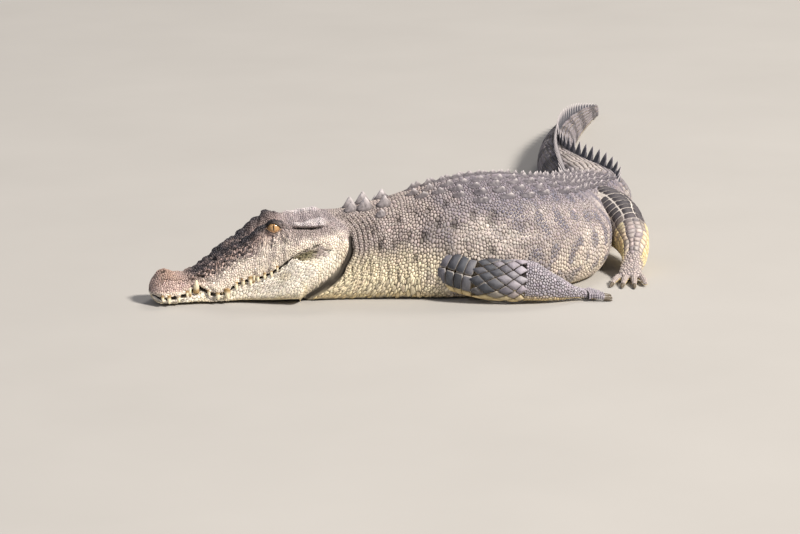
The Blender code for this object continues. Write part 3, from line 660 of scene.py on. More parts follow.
def hide_material(name):
    """Dry reptile hide: painted by its markings, with a mat, dusty, uneven finish from blotches of dust
    11 mm wide. Its pores and grain, 2.8 and 3.5 mm apart, are coarser than life so that they show."""
    made, tree, shader = blank_material(name)
    place = add(tree, "TexCoord").outputs["Object"]
    marking = add(tree, "Attribute", attribute_name="marking").outputs["Color"]
    dust = add(tree, "TexNoise", {"Vector": place, "Scale": 1 / .011, "Detail": 5.0, "Roughness": .65})
    tone = add(tree, "MapRange", {"Value": dust.outputs["Fac"], "From Min": .3, "From Max": .7,
                                  "To Min": .82, "To Max": 1.12})
    shaded = add(tree, "VectorMath", {0: marking, "Scale": tone.outputs["Result"]}, operation="SCALE")
    tree.links.new(shaded.outputs["Vector"], shader.inputs["Base Color"])
    pores = add(tree, "TexVoronoi", {"Vector": place, "Scale": 1 / .0028}, feature="DISTANCE_TO_EDGE")
    grain = add(tree, "TexNoise", {"Vector": place, "Scale": 1 / .0035, "Detail": 4.0, "Roughness": .6})
    crease = add(tree, "Math", {0: pores.outputs["Distance"], 1: .18}, operation="MINIMUM")
    first = add(tree, "Bump", {"Height": crease.outputs["Value"], "Distance": .0016, "Strength": .5})
    second = add(tree, "Bump", {"Height": grain.outputs["Fac"], "Distance": .0012, "Strength": .55,
                                "Normal": first.outputs["Normal"]})
    tree.links.new(second.outputs["Normal"], shader.inputs["Normal"])
    rough = add(tree, "MapRange", {"Value": dust.outputs["Fac"], "From Min": .3, "From Max": .7,
                                   "To Min": .50, "To Max": .72})
    tree.links.new(rough.outputs["Result"], shader.inputs["Roughness"])
    shader.inputs["Specular IOR Level"].default_value = 0.42
    return made


SKIN_HIDE = hide_material("dry_crocodile_skin")
SCALE_HIDE = hide_material("dry_crocodile_scales")

# ---- limbs ---------------------------------------------------
# Four short legs laid beside the body. Each is a tube along a smooth line through its joints, which
# ends in a flat palm with spread digits. Only the three inner digits of each foot have claws.
CLAWED = 3
# How far a leg's form lies inside its true size, which leaves room for the plates.
LIMB_COAT = 0.0040
# The node a leg ends in, its digits, its palm's length, their reach past it, and the degrees from the
# middle of the foot to the outermost digit.
FEET = {
    "fore": {"node": "hand", "digits": 5, "palm": .042, "reach": .045, "fan": 24},
    "hind": {"node": "foot", "digits": 4, "palm": .055, "reach": .070, "fan": 14},
}
# Each joint: place in plan, height, half thickness across and up. The turn is how many degrees the foot
# points to the left of its shank.
LIMBS = {
    "left_fore": {"foot": FEET["fore"], "turn": 0, "joints": (
        (.100, .140, .150, .075, .080), (.178, -.005, .105, .070, .078), (.305, -.058, .076, .066, .074),
        (.430, -.072, .070, .060, .070), (.505, -.070, .050, .046, .050), (.580, -.050, .026, .034, .024),
    )},
    "right_fore": {"foot": FEET["fore"], "turn": 0, "joints": (
        (.120, .250, .150, .075, .080), (.098, .390, .105, .068, .074), (.075, .490, .070, .062, .068),
        (.005, .555, .064, .056, .062), (-.075, .575, .048, .044, .046), (-.135, .580, .026, .034, .024),
    )},
    "left_hind": {"foot": FEET["hind"], "turn": 10, "joints": (
        (.640, .740, .150, .080, .078), (.715, .630, .152, .084, .086), (.772, .480, .130, .078, .086),
        (.800, .360, .098, .060, .070), (.800, .285, .058, .046, .050), (.785, .235, .030, .040, .028),
    )},
    "right_hind": {"foot": FEET["hind"], "turn": 0, "joints": (
        (.600, .790, .130, .075, .074), (.500, .845, .118, .078, .078), (.380, .870, .090, .070, .074),
        (.300, .930, .070, .054, .060), (.270, 1.020, .048, .044, .046), (.245, 1.085, .030, .038, .028),
    )},
}
# Steps along a leg, a palm and a digit, and the step from which a leg turns to its foot's direction.
LIMB_STEPS, PALM_STEPS, DIGIT_STEPS, ANKLE_STEP = 120, 25, 40, 88
SOLE_HEIGHT = 0.016
DIGIT_ROOT, DIGIT_THICK = 0.03, 0.0128
ARM_SLATE, ARM_WORN, ARM_LAVENDER = paint("#43454d"), paint("#6e6d75"), paint("#a09aa3")
THIGH_DARK, SHANK_GREY, SHANK_CREAM = paint("#3f3b40"), paint("#b1a6a2"), paint("#e0cc9a")
LIMB_FLECK, LIMB_NET, LIMB_NET_LOW = paint("#6b6670"), paint("#cfc8c2"), paint("#8f878a")


def tube(centres, sizes, ahead, turn):
    """Rings round a line, from the top down the side that lies across it, pressed flat on the ground."""
    across = unit(np.cross(ahead, (0, 0, 1.0)))
    up = np.cross(across, ahead)
    angle = np.pi * turn[None, :, None]
    flat = np.sign(np.sin(angle)) * np.abs(np.sin(angle)) ** .9
    rings = centres[:, None] + flat * across[:, None] * sizes[:, None, :1]
    rings = rings + np.cos(angle) * up[:, None] * sizes[:, None, 1:]
    rings[..., 2] = np.maximum(rings[..., 2], 0)
    return rings


def distances(points):
    """How far each point of a line lies from the first, along the line."""
    return np.concatenate([[0], np.cumsum(np.linalg.norm(np.diff(points, axis=0), axis=1))])


def limb_facing(limb):
    """The direction that a palm points in, level, and the direction across it to its left."""
    joints = np.array(limb["joints"])
    run = distances(joints[:, :3])
    end = flow(run, joints[:, :3], np.array([run[-1] - .004, run[-1]]))
    heading = math.atan2(end[1, 1] - end[0, 1], end[1, 0] - end[0, 0]) + math.radians(limb["turn"])
    forward = np.array([math.cos(heading), math.sin(heading), 0])
    return forward, np.array([-forward[1], forward[0], 0])


def limb_line(limb):
    """Centres, half sizes and directions from the root of a limb to the end of its palm. The limb is a
    smooth curve through its joints, and the palm a straight run that widens and flattens."""
    joints = np.array(limb["joints"])
    centres = joints[:, :3] + (*PLAN_SHIFT, 0)
    run = distances(centres)
    at = np.linspace(0, run[-1], LIMB_STEPS)
    data = flow(run, np.concatenate([centres, joints[:, 3:] - LIMB_COAT], axis=1), at)
    ahead = unit(flow(run, centres, at + .004) - flow(run, centres, at - .004))
    wrist, size = data[-1, :3], data[-1, 3:]
    forward, _ = limb_facing(limb)
    palm = limb["foot"]["palm"]
    step = np.linspace(0, 1, PALM_STEPS + 1)[1:, None]
    palm_centres = wrist + forward * step * palm
    palm_centres[:, 2] = (wrist[2] + (SOLE_HEIGHT - wrist[2]) * step)[:, 0]
    palm_sizes = size + (np.array([palm * .82, .015]) - size) * step
    palm_sizes[:, 0] *= 1 - .35 * ease(step[:, 0], .75, 1.0)
    palm_sizes[:, 1] *= 1 - .30 * ease(step[:, 0], .75, 1.0)
    centres = np.concatenate([data[:, :3], palm_centres])
    sizes = np.concatenate([data[:, 3:], palm_sizes])
    turned = ease(np.arange(LIMB_STEPS), ANKLE_STEP, LIMB_STEPS - 1)[:, None]
    ahead = unit(ahead * (1 - turned) + forward * turned)
    return centres, sizes, np.concatenate([ahead, np.repeat(forward[None], PALM_STEPS, 0)])


TUBE_TURNS = np.linspace(-1, 1, 97)


def limb_ground(limb):
    """A limb's grid, with soft uneven swelling."""
    centres, sizes, ahead = limb_line(limb)
    run = distances(centres)
    points = tube(centres, sizes, ahead, TUBE_TURNS)
    swell = .0018 * rumple(run[:, None], TUBE_TURNS[None, :] * .4, .09, 31)
    points = points + facing(points) * swell[..., None]
    points[..., 2] = np.maximum(points[..., 2], 0)
    return Ground(run, TUBE_TURNS, points, facing(points), 0 * swell)


def digit_grounds(limb, sign):
    """The grid of each digit of a foot, and the number, tip and direction of each that has a claw."""
    centres, _, _ = limb_line(limb)
    forward, across = limb_facing(limb)
    foot = limb["foot"]
    digits, palm, wrist = foot["digits"], foot["palm"], centres[LIMB_STEPS - 1]
    step = np.linspace(0, 1, DIGIT_STEPS)
    knuckle = 1 + .10 * np.cos(CYCLE * step * 2.5 + 2.6) * (step < .95)
    thick = DIGIT_THICK * (1 - .36 * step) * knuckle * np.sqrt(1 - ease(step, .92, 1.03) * .95)
    thick = thick * (.5 + .5 * ease(step, .02, .24))
    grounds, claws = [], []
    for number in range(digits):
        share = number / (digits - 1) * 2 - 1
        angle = math.radians(foot["fan"]) * share
        ray = forward * math.cos(angle) + across * math.sin(angle)
        root = wrist + forward * palm * .55 + across * palm * .62 * share
        reach = foot["reach"] * (1 - .22 * abs(share - .1)) + palm * .17
        line = root + ray * (DIGIT_ROOT + reach) * step[:, None]
        line[:, 2] = .0125 + .006 * np.sin(np.pi * step) - .003 * step
        rings = tube(line, np.stack([thick * 1.06, thick], 1), np.tile(ray, (DIGIT_STEPS, 1)), TUBE_TURNS)
        along = step * (DIGIT_ROOT + reach)
        grounds.append(Ground(along, TUBE_TURNS, rings, facing(rings), 0 * rings[..., 0]))
        clawed = number < CLAWED if sign > 0 else number >= digits - CLAWED
        if clawed:
            claws.append((number, line[-1], ray))
    return grounds, claws


def limb_colours(kind, share, turn):
    """(scale, net) colours of a limb, whose share runs from root to toes: dark slate in a pale net above,
    fine lavender grey below the joint, cream underneath and on the lower shank. On the thigh the cream
    starts lower, which leaves painted shade on its lower side."""
    v = np.abs(turn)
    patch, fleck = rumple(share * .5, turn, .09, 41), rumple(share * .6, turn, .020, 43)
    if kind == "fore":
        scale = mix(ARM_SLATE, ARM_WORN, .8 * ease(patch, -.2, .7))
        scale = mix(scale, ARM_LAVENDER, ease(share + .03 * patch, .50, .64))
        later = .12 * ease(share, .08, .22)
    else:
        scale = mix(THIGH_DARK, SHANK_GREY, ease(share, .58, .70))
        scale = mix(scale, SHANK_CREAM, window(share, .62, .88, .04) * ease(v, .15, .35))
        # Painted shade: the thigh's cream underneath starts further down, so its lower side stays dark.
        later = .16 * (1 - ease(share, .40, .55))
    scale = mix(scale, LIMB_FLECK, .6 * ease(fleck, .1, .8) * ease(share, .5, .7))
    net = mix(LIMB_NET, LIMB_NET_LOW, ease(share, .52, .70))
    low = ease(v - later, .54, .70)
    return mix(scale, BELLY, low), mix(net, BELLY * .75, low)


# ---- the skin ------------------------------------------------
# The skin is one closed surface over flesh and bone: the body from snout to tail, the four legs and
# their digits, joined. It lies a coat's depth inside the body, and shows between the scales, on the
# lids and in the folds.
LIMB_SKIN_DEPTH = 0.0022
SKIN_REST = 0.0002
TIP_ROWS, HEAD_ROWS, HALF_TURNS = 20, 275, 92
# Where the skin's rings thin out behind head, neck and trunk, and their spacing there.
HEAD_ROWS_END, NECK_ROWS_END, TRUNK_ROWS_END = 0.735, 1.0, 2.55
NECK_ROW, TRUNK_ROW, TAIL_ROW = 0.0045, 0.0095, 0.012


def shape(name, points, faces, material, colours=None, places=None):
    """A mesh object from points and from arrays of faces, one array for each number of corners. Each
    point may have a marking colour and a place on the OFBake map."""
    mesh = bpy.data.meshes.new(name)
    corners = np.concatenate([f.ravel() for f in faces]).astype(np.int32)
    sizes = np.concatenate([np.full(len(f), f.shape[1]) for f in faces]).astype(np.int32)
    mesh.vertices.add(len(points))
    mesh.vertices.foreach_set("co", np.asarray(points, np.float32).ravel())
    mesh.loops.add(len(corners))
    mesh.loops.foreach_set("vertex_index", corners)
    mesh.polygons.add(len(sizes))
    mesh.polygons.foreach_set("loop_start", np.concatenate([[0], np.cumsum(sizes)[:-1]]).astype(np.int32))
    mesh.polygons.foreach_set("use_smooth", np.ones(len(sizes), bool))
    mesh.update(calc_edges=True)
    if colours is not None:
        marking = mesh.color_attributes.new("marking", "FLOAT_COLOR", "CORNER")
        flat = np.concatenate([colours[corners], np.ones((len(corners), 1))], axis=1)
        marking.data.foreach_set("color", flat.astype(np.float32).ravel())
    if places is not None:
        chart = mesh.uv_layers.new(name="OFBake")
        chart.data.foreach_set("uv", places[corners].astype(np.float32).ravel())
    mesh.validate()
    mesh.materials.append(material)
    made = bpy.data.objects.new(name, mesh)
    bpy.context.scene.collection.objects.link(made)
    return made


def grid_faces(rows, columns):
    """Quads between the rings of a grid of points, and round each ring."""
    index = np.arange(rows * columns).reshape(rows, columns)
    following = np.roll(index, -1, axis=1)
    return np.stack([index[:-1], following[:-1], following[1:], index[1:]], axis=-1).reshape(-1, 4)


def ring_caps(rows, columns):
    """The two faces that close a grid of rings at its first and its last ring."""
    ring = np.arange(columns)[None, :]
    return [ring[:, ::-1], ring + (rows - 1) * columns]


def head_stations():
    """Stations of the skin's rings on the head, closest round the tip of the snout and the eyes."""
    tip = SNOUT_ROUND * (1 - np.cos(np.linspace(0.03, 1, TIP_ROWS) * np.pi / 2))
    fine = np.linspace(SNOUT_ROUND, HEAD_ROWS_END, 2001)
    density = 1 + 3.0 * window(fine, .388, .452, .012) + .25 * ease(fine, .52, .56)
    run = np.cumsum(density)
    return np.concatenate([tip, np.interp(np.linspace(run[0], run[-1], HEAD_ROWS)[1:], run, fine)])


def skin_turns():
    """Turns of the skin's lines on the head, closest at the lids and the lips, for both sides."""
    v = np.linspace(0, 1, 2001)
    density = 1 + 2.6 * window(v, .085, .255, .02) + 1.6 * window(v, .455, .545, .02) - .6 * ease(v, .6, .8)
    run = np.cumsum(density)
    half = np.interp(np.linspace(run[0], run[-1], HALF_TURNS + 1), run, v)
    return np.concatenate([-half[:0:-1], half[:-1]])


def skin_bend(station, v):
    """Leans the skin's rings with the edge of the jowl, so that some run along its crease."""
    share = ease(station, .30, .60) * (1 - ease(station, .66, HEAD_ROWS_END))
    return station + share * (jowl_edge(np.maximum(v, .3)) - jowl_edge(.3))


def skin_patch(ground, along, turn, depth):
    """A grid of skin points at a depth inside the form, but not through the floor, and its grooves."""
    points, normals, groove = touch(ground, along, turn)
    points = points - normals * np.broadcast_to(depth, groove.shape)[..., None]
    points[..., 2] = np.maximum(points[..., 2], SKIN_REST)
    return points, groove


def stepped_faces(rings):
    """Faces between rings of which each has as many points as the last, or half as many, with caps."""
    starts = np.concatenate([[0], np.cumsum(rings)])
    quads, fives = [], []
    for start, end, count, following in zip(starts, starts[1:], rings, rings[1:]):
        here, there = start + np.arange(count), end + np.arange(following)
        if count == following:
            quads.append(np.stack([here, np.roll(here, -1), np.roll(there, -1), there], axis=1))
        else:
            first, middle, last = here[::2], here[1::2], np.roll(here, -2)[::2]
            fives.append(np.stack([first, middle, last, np.roll(there, -1), there], axis=1))
    caps = [np.arange(rings[0])[None, ::-1], (starts[-2] + np.arange(rings[-1]))[None, :]]
    return [np.concatenate(quads), np.concatenate(fives), *caps]


def lid_colours(colours, points, side_name):
    """Paints the lids: a dark wet rim round the opening, a tan lower lid and a slate upper one."""
    radius, _, _, b, c, margin = eye_place(points, side_name)
    here = (1 - ease(radius, .034, .040)) * ease(c, .30, .60)
    colours = mix(colours, LOWER_LID, here * (b < 0) * window(margin, .02, .22, .05) * .8)
    colours = mix(colours, SLATE, here * (b >= 0) * window(margin, .02, .34, .06) * .70)
    return mix(colours, LID_RIM, here * hill(margin, .015, .035))


def body_skin():
    """The body's own length of skin, with half as many lines behind the head, and again on the tail. It
    lies deeper on jowl, mouth corner and trunk."""
    turns = skin_turns()
    neck = np.arange(HEAD_ROWS_END + .004, NECK_ROWS_END, NECK_ROW)
    trunk = np.arange(NECK_ROWS_END, TRUNK_ROWS_END, TRUNK_ROW)
    lengths = (
        (head_stations(), turns),
        (np.concatenate([neck, trunk]), turns[::2]),
        (np.arange(TRUNK_ROWS_END, BODY_LENGTH - .004, TAIL_ROW), turns[::4]),
    )
    points, grooves, places, rings = [], [], [], []
    for stations, lines in lengths:
        v = np.abs(lines)[None, :]
        along = skin_bend(stations[:, None], v)
        jowl = ease(v, .47, .50) * (1 - ease(along, .55, .66))
        corner = window(along, .46, .60, .02) * window(v, .39, .60, .02)
        deeper = np.maximum(np.maximum(jowl, corner), ease(along, .74, .80))
        patch, groove = skin_patch(body, along, lines[None, :], COAT_DEPTH + .0012 * deeper)
        points.append(patch.reshape(-1, 3))
        grooves.append(groove.ravel())
        places.append(np.stack(np.broadcast_arrays(along, lines[None, :]), -1).reshape(-1, 2))
        rings += [len(lines)] * len(stations)
    points, grooves, places = (np.concatenate(g) for g in (points, grooves, places))
    scale, net = body_colours(places[:, 0], places[:, 1])
    lids = window(places[:, 0], .37, .47, .01) * window(np.abs(places[:, 1]), .07, .27, .01)
    lips = window(np.abs(places[:, 1]), .475, .525, .004) * (1 - ease(places[:, 0], .452, .462))
    colours = mix(net, scale, np.maximum(lids, lips))
    for side_name in ("left", "right"):
        colours = lid_colours(colours, points, side_name)
    # Painted shade: grooves, folds, pits, nostrils and the lids' crease are darkened by their depth.
    colours = mix(colours, CREASE_SHADE, np.clip(1.9 * grooves, 0, .95))
    return shape("skin", points, stepped_faces(rings), SKIN_HIDE, colours)


def tube_skin(name, ground, rows, columns, colours_of):
    """A closed length of skin round a limb or a digit."""
    along = np.linspace(ground.along[0], ground.along[-1], rows)
    turn = np.linspace(-1, 1, columns, endpoint=False)
    points, _ = skin_patch(ground, along[:, None], turn[None, :], LIMB_SKIN_DEPTH)
    share, turns = np.broadcast_arrays((along / along[-1])[:, None], turn[None, :])
    _, net = colours_of(share.ravel(), turns.ravel())
    faces = [grid_faces(rows, columns), *ring_caps(rows, columns)]
    return shape(name, points.reshape(-1, 3), faces, SKIN_HIDE, net)


def unite(target, others):
    """Joins closed pieces into the target with Boolean unions, and leaves only its finished mesh."""
    for other in others:
        step = target.modifiers.new(other.name, "BOOLEAN")
        step.object, step.operation, step.solver = other, "UNION", "EXACT"
    finished = bpy.data.meshes.new_from_object(target.evaluated_get(bpy.context.evaluated_depsgraph_get()))
    target.modifiers.clear()
    old, target.data = target.data, finished
    finished.name = target.name
    bpy.data.meshes.remove(old)
    for other in others:
        bpy.data.objects.remove(other)


skin = body_skin()
limb_grounds, foot_grounds, claw_lines, limb_skins = {}, {}, {}, []
for limb_name, limb in LIMBS.items():
    kind = limb_name.split("_")[1]
    sign = 1 if limb_name.startswith("left") else -1
    limb_grounds[limb_name] = limb_ground(limb)
    foot_grounds[limb_name], claw_lines[limb_name] = digit_grounds(limb, sign)
    limb_skins.append(tube_skin(
        f"{limb_name}_skin", limb_grounds[limb_name], 70, 36,
        lambda share, turn: limb_colours(kind, share, turn),
    ))
    for number, digit in enumerate(foot_grounds[limb_name]):
        limb_skins.append(tube_skin(
            f"{limb_name}_digit_skin_{number}", digit, 14, 12,
            lambda share, turn: limb_colours(kind, share * 0 + 1, turn),
        ))
unite(skin, limb_skins)
limb_skins = []
for piece in [skin, *limb_skins]:
    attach(piece, "root")
FLESH = [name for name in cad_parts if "eye" not in name and "claw" not in name]
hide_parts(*FLESH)

# ---- scales --------------------------------------------------
# Horny plates that grow from the skin edge to edge: small, uneven and many-sided on head, neck and
# flanks, tall on the throat, and oblong in rows on the tail. Each is a closed low dome whose rim is sunk
# in the skin. Lids, lips and deep folds are bare.
RIM_POINTS = 12
# Each ring of a scale below its peak: its reach from the middle, and its height, as shares.
RINGS = ((1.0, -0.35), (0.86, 0.62))
SUNK = 0.6 * COAT_DEPTH
SCALE_REST = 0.0001
# Rows of points packed like a honeycomb are this many pitches apart.
ROW_SHARE = 0.87
# Half the width of a scale's patch on the OFBake map.
PATCH = 0.0015
Lattice = namedtuple("Lattice", "along turn weight kind")


def straight(row, turn):
    """Rows that aren't bent: each place keeps its row's station."""
    return row


def rows_between(ground, first, last, pitch, turn, bend=straight):
    """Stations of crosswise rows, at steps of a pitch over the surface's own length along one turn. The
    pitch may grow evenly from its first value to its second."""
    fine = np.linspace(first, last, 600)
    points, _, _ = touch(ground, bend(fine, turn), turn)
    steps = np.linalg.norm(np.diff(points, axis=0), axis=1) / np.linspace(*np.broadcast_to(pitch, 2), 599)
    run = np.concatenate([[0], np.cumsum(steps)])
    count = max(2, int(round(run[-1])))
    return np.interp((np.arange(count) + .5) / count * run[-1], run, fine)


def with_neighbours(rows):
    """Rows with two more at either end."""
    before, after = rows[1] - rows[0], rows[-1] - rows[-2]
    return np.concatenate([rows[0] - before * np.array([2, 1]), rows, rows[-1] + after * np.array([1, 2])])


def lattice(ground, rows, first, last, columns, kind, jitter, seed):
    """Centres of scales. Rows are at the given stations. In each row, steps are equal in arc from the
    first turn to the last. Odd rows of rhombs are moved half a step. Two more rows and columns all
    round give the outer scales their neighbours."""
    rows = np.maximum(with_neighbours(rows), ground.along[0])
    share = np.linspace(-.12, 1.12, 200)
    turns = first + (last - first) * share
    points, _, _ = touch(ground, rows[:, None], turns[None, :])
    steps = np.linalg.norm(np.diff(points, axis=1), axis=2) + 1e-7
    run = np.concatenate([0 * steps[:, :1], np.cumsum(steps, axis=1)], axis=1)
    rhombs = kind == "rhomb"
    parity = (np.arange(len(rows)) % 2)[:, None] * rhombs
    dice = np.random.default_rng(seed)
    wobble = dice.uniform(-jitter, jitter, (2, len(rows), columns + 4))
    weight = np.exp(dice.uniform(-2.2 * jitter, 2.2 * jitter, wobble[0].shape))
    spacing = np.gradient(rows)[:, None]
    at = np.arange(-2, columns + 2)[None, :] + .5 + .5 * parity - .25 * rhombs
    middle = first + (last - first) * at / columns
    drift = [2.6 * jitter * rumple(rows[:, None], middle, 7 * spacing.mean(), 300 + k) for k in (1, 2)]
    at = (at + wobble[0] + drift[0]) / columns
    ends = [np.interp((0, 1), share, row_run) for row_run in run]
    turn = np.stack([
        np.interp(low + row_at * (high - low), row_run, turns)
        for (low, high), row_at, row_run in zip(ends, at, run)
    ])
    return Lattice(rows[:, None] + spacing * (wobble[1] + drift[1]), turn, weight, kind)


def outlines(net):
    """Each inner scale's centre, and its four corners, which are weighted means of the centres that meet
    there. A light centre pushes its corners away, so its scale is larger than the ones round it."""
    both = np.stack([net.along * net.weight, net.turn * net.weight, net.weight], axis=-1)
    rows, columns = both.shape[:2]
    r, c = np.meshgrid(np.arange(2, rows - 2), np.arange(2, columns - 2), indexing="ij")
    here, left, right = both[r, c], both[r, c - 1], both[r, c + 1]
    if net.kind == "oblong":
        up, down = both[r + 1, c], both[r - 1, c]
        meets = (
            (right, up, both[r + 1, c + 1]), (left, up, both[r + 1, c - 1]),
            (left, down, both[r - 1, c - 1]), (right, down, both[r - 1, c + 1]),
        )
    else:
        shift = r % 2
        up_left, up_right = both[r + 1, c - 1 + shift], both[r + 1, c + shift]
        down_left, down_right = both[r - 1, c - 1 + shift], both[r - 1, c + shift]
        meets = (
            (right, up_right, down_right), (up_left, up_right, both[r + 2, c]),
            (left, up_left, down_left), (down_left, down_right, both[r - 2, c]),
        )
    sums = np.stack([here + sum(others) for others in meets], axis=2)
    corners = sums[..., :2] / sums[..., 2:]
    middles = (corners.mean(axis=2) + here[..., :2] / here[..., 2:]) / 2
    return middles.reshape(-1, 2), corners.reshape(-1, len(meets), 2)


def plates(net, sharp):
    """The scales of a lattice: their centres, and twelve points round each outline, cut across its
    corners. Sharper outlines keep more of them."""
    centres, corners = outlines(net)
    following = np.roll(corners, -1, axis=1)
    near = .25 * (1 - sharp) + .06 * sharp
    along_edges = [corners * (1 - cut) + following * cut for cut in (near, .5, 1 - near)]
    return centres, np.stack(along_edges, axis=2).reshape(len(corners), RIM_POINTS, 2)


def strewn_points(ground, rows, low, high, pitches, tall, dice, bend):
    """Points about a pitch apart, in rows that each have their own count: (row, turn) places, and the
    same points laid flat, in metres. Two more rows and columns all round are marked as not inner."""
    share = np.linspace(-.15, 1.15, 260)
    turns = low + (high - low) * share
    places, flat, inner = [], [], []
    down = ROW_SHARE * np.cumsum(pitches)
    for number, (row, pitch) in enumerate(zip(rows, pitches)):
        points, _, _ = touch(ground, bend(row + 0 * turns, turns), turns)
        arc = np.concatenate([[0], np.cumsum(np.linalg.norm(np.diff(points, axis=0), axis=1) + 1e-7)])
        arc -= np.interp(0 if low < 0 < high else low, turns, arc)
        start, end = np.interp([low, high], turns, arc)
        step = pitch * tall
        at = np.arange(start - 2 * step, end + 2 * step, step) + step * dice.uniform(0, 1)
        slip = dice.uniform(-.36, .36, (2, len(at))) * pitch
        at = at + slip[0] * tall
        place_row = np.interp(number + slip[1] / pitch, np.arange(len(rows)), rows)
        places.append(np.stack([place_row, np.interp(at, arc, turns)], axis=1))
        flat.append(np.stack([down[number] + ROW_SHARE * slip[1], at / tall], axis=1))
        inner.append((at > start) & (at < end) & (2 <= number < len(rows) - 2))
    return np.concatenate(places), np.concatenate(flat), np.concatenate(inner)


def cells(places, flat, dice):
    """The many-sided cell round each point: its corners in order, as rows that end by repeating the
    first corner, and their number. A corner is the weighted mean of a triangle that joins neighbours."""
    joined = delaunay_2d_cdt([tuple(point) for point in flat], [], [], 0, 1e-9)
    source = np.array([ids[0] for ids in joined[3]])
    triangles = source[np.array(joined[2])]
    weight = np.exp(dice.uniform(-.6, .6, len(flat)))[triangles][..., None]
    corners = (places[triangles] * weight).sum(axis=1) / weight.sum(axis=1)
    flat_corners = (flat[triangles] * weight).sum(axis=1) / weight.sum(axis=1)
    owner, corner = triangles.ravel(), np.repeat(np.arange(len(triangles)), 3)
    away = flat_corners[corner] - flat[owner]
    order = np.lexsort((np.arctan2(away[:, 0], away[:, 1]), owner))
    owner, corner = owner[order], corner[order]
    counts = np.bincount(owner, minlength=len(flat))
    rank = np.arange(len(owner)) - np.repeat(np.cumsum(counts) - counts, counts)
    most = counts.max() + 1
    ring = np.zeros((len(flat), most, 2))
    ring[owner, rank] = corners[corner]
    slot = np.minimum(np.arange(most)[None, :], counts[:, None])
    slot = np.where(slot == counts[:, None], 0, slot)
    return np.take_along_axis(ring, slot[..., None], axis=1), counts


def evenly_round(ring):
    """Twelve points at equal steps round each closed outline."""
    stretch = np.ptp(ring, axis=1, keepdims=True).mean(axis=0, keepdims=True) + 1e-9
    steps = np.linalg.norm(np.diff(ring, axis=1) / stretch, axis=2)
    run = np.concatenate([0 * steps[:, :1], np.cumsum(steps, axis=1)], axis=1)
    wanted = (np.arange(RIM_POINTS) + .5) / RIM_POINTS * run[:, -1:]
    index = np.clip((run[:, :, None] <= wanted[:, None, :]).sum(axis=1) - 1, 0, ring.shape[1] - 2)
    start, end = (np.take_along_axis(run, index + k, axis=1) for k in (0, 1))
    part = ((wanted - start) / (end - start + 1e-12))[..., None]
    here, there = (np.take_along_axis(ring, (index + k)[..., None], axis=1) for k in (0, 1))
    return here * (1 - part) + there * part


def pebbles(ground, first, last, low, high, pitch, seed, turn, bend=straight, tall=1.0):
    """Uneven many-sided scales that leave no rows: the cells round strewn points. Tall ones are
    stretched round the body. Returns centres and twelve-point outlines."""
    dice = np.random.default_rng(seed)
    rows = with_neighbours(rows_between(ground, first, last, ROW_SHARE * np.array(pitch), turn, bend))
    pitches = np.interp(rows, (first, last), np.broadcast_to(pitch, 2))
    places, flat, inner = strewn_points(ground, rows, low, high, pitches, tall, dice, bend)
    places[:, 0] = bend(places[:, 0], places[:, 1])
    ring, counts = cells(places, flat, dice)
    keep = inner & (counts >= 4)
    outline = evenly_round(ring[keep])
    return (places[keep] + outline.mean(axis=1)) / 2, outline


def many(faces, count, points_each):
    """The faces of many like shapes from the faces of one."""
    start = (np.arange(count) * points_each)[:, None, None]
    return [(part[None] + start).reshape(-1, part.shape[1]) for part in faces]


def scale_faces(count):
    """The faces of many scales: a skirt of quads between two rings, triangles to a peak, and a base."""
    k = np.arange(RIM_POINTS)
    after = (k + 1) % RIM_POINTS
    outer, inner, peak = k, k + RIM_POINTS, 2 * RIM_POINTS
    skirt = np.stack([outer, after, after + RIM_POINTS, inner], axis=1)
    top = np.stack([inner, after + RIM_POINTS, 0 * k + peak], axis=1)
    return many([skirt, top, outer[None, ::-1]], count, peak + 1)


def patches(centres):
    """OFBake places: a small disc for each scale, at its root's place on the unrolled skin."""
    low, high = centres.min(axis=0), centres.max(axis=0)
    root = .01 + .98 * (centres - low) / (high - low + 1e-9)
    angle = 2 * np.pi * np.arange(RIM_POINTS) / RIM_POINTS
    circle = np.stack([np.sin(angle), np.cos(angle)], axis=1) * PATCH
    disc = np.concatenate([circle, circle * RINGS[1][0], [[0, 0]]])
    return (root[:, None] + disc[None]).reshape(-1, 2)


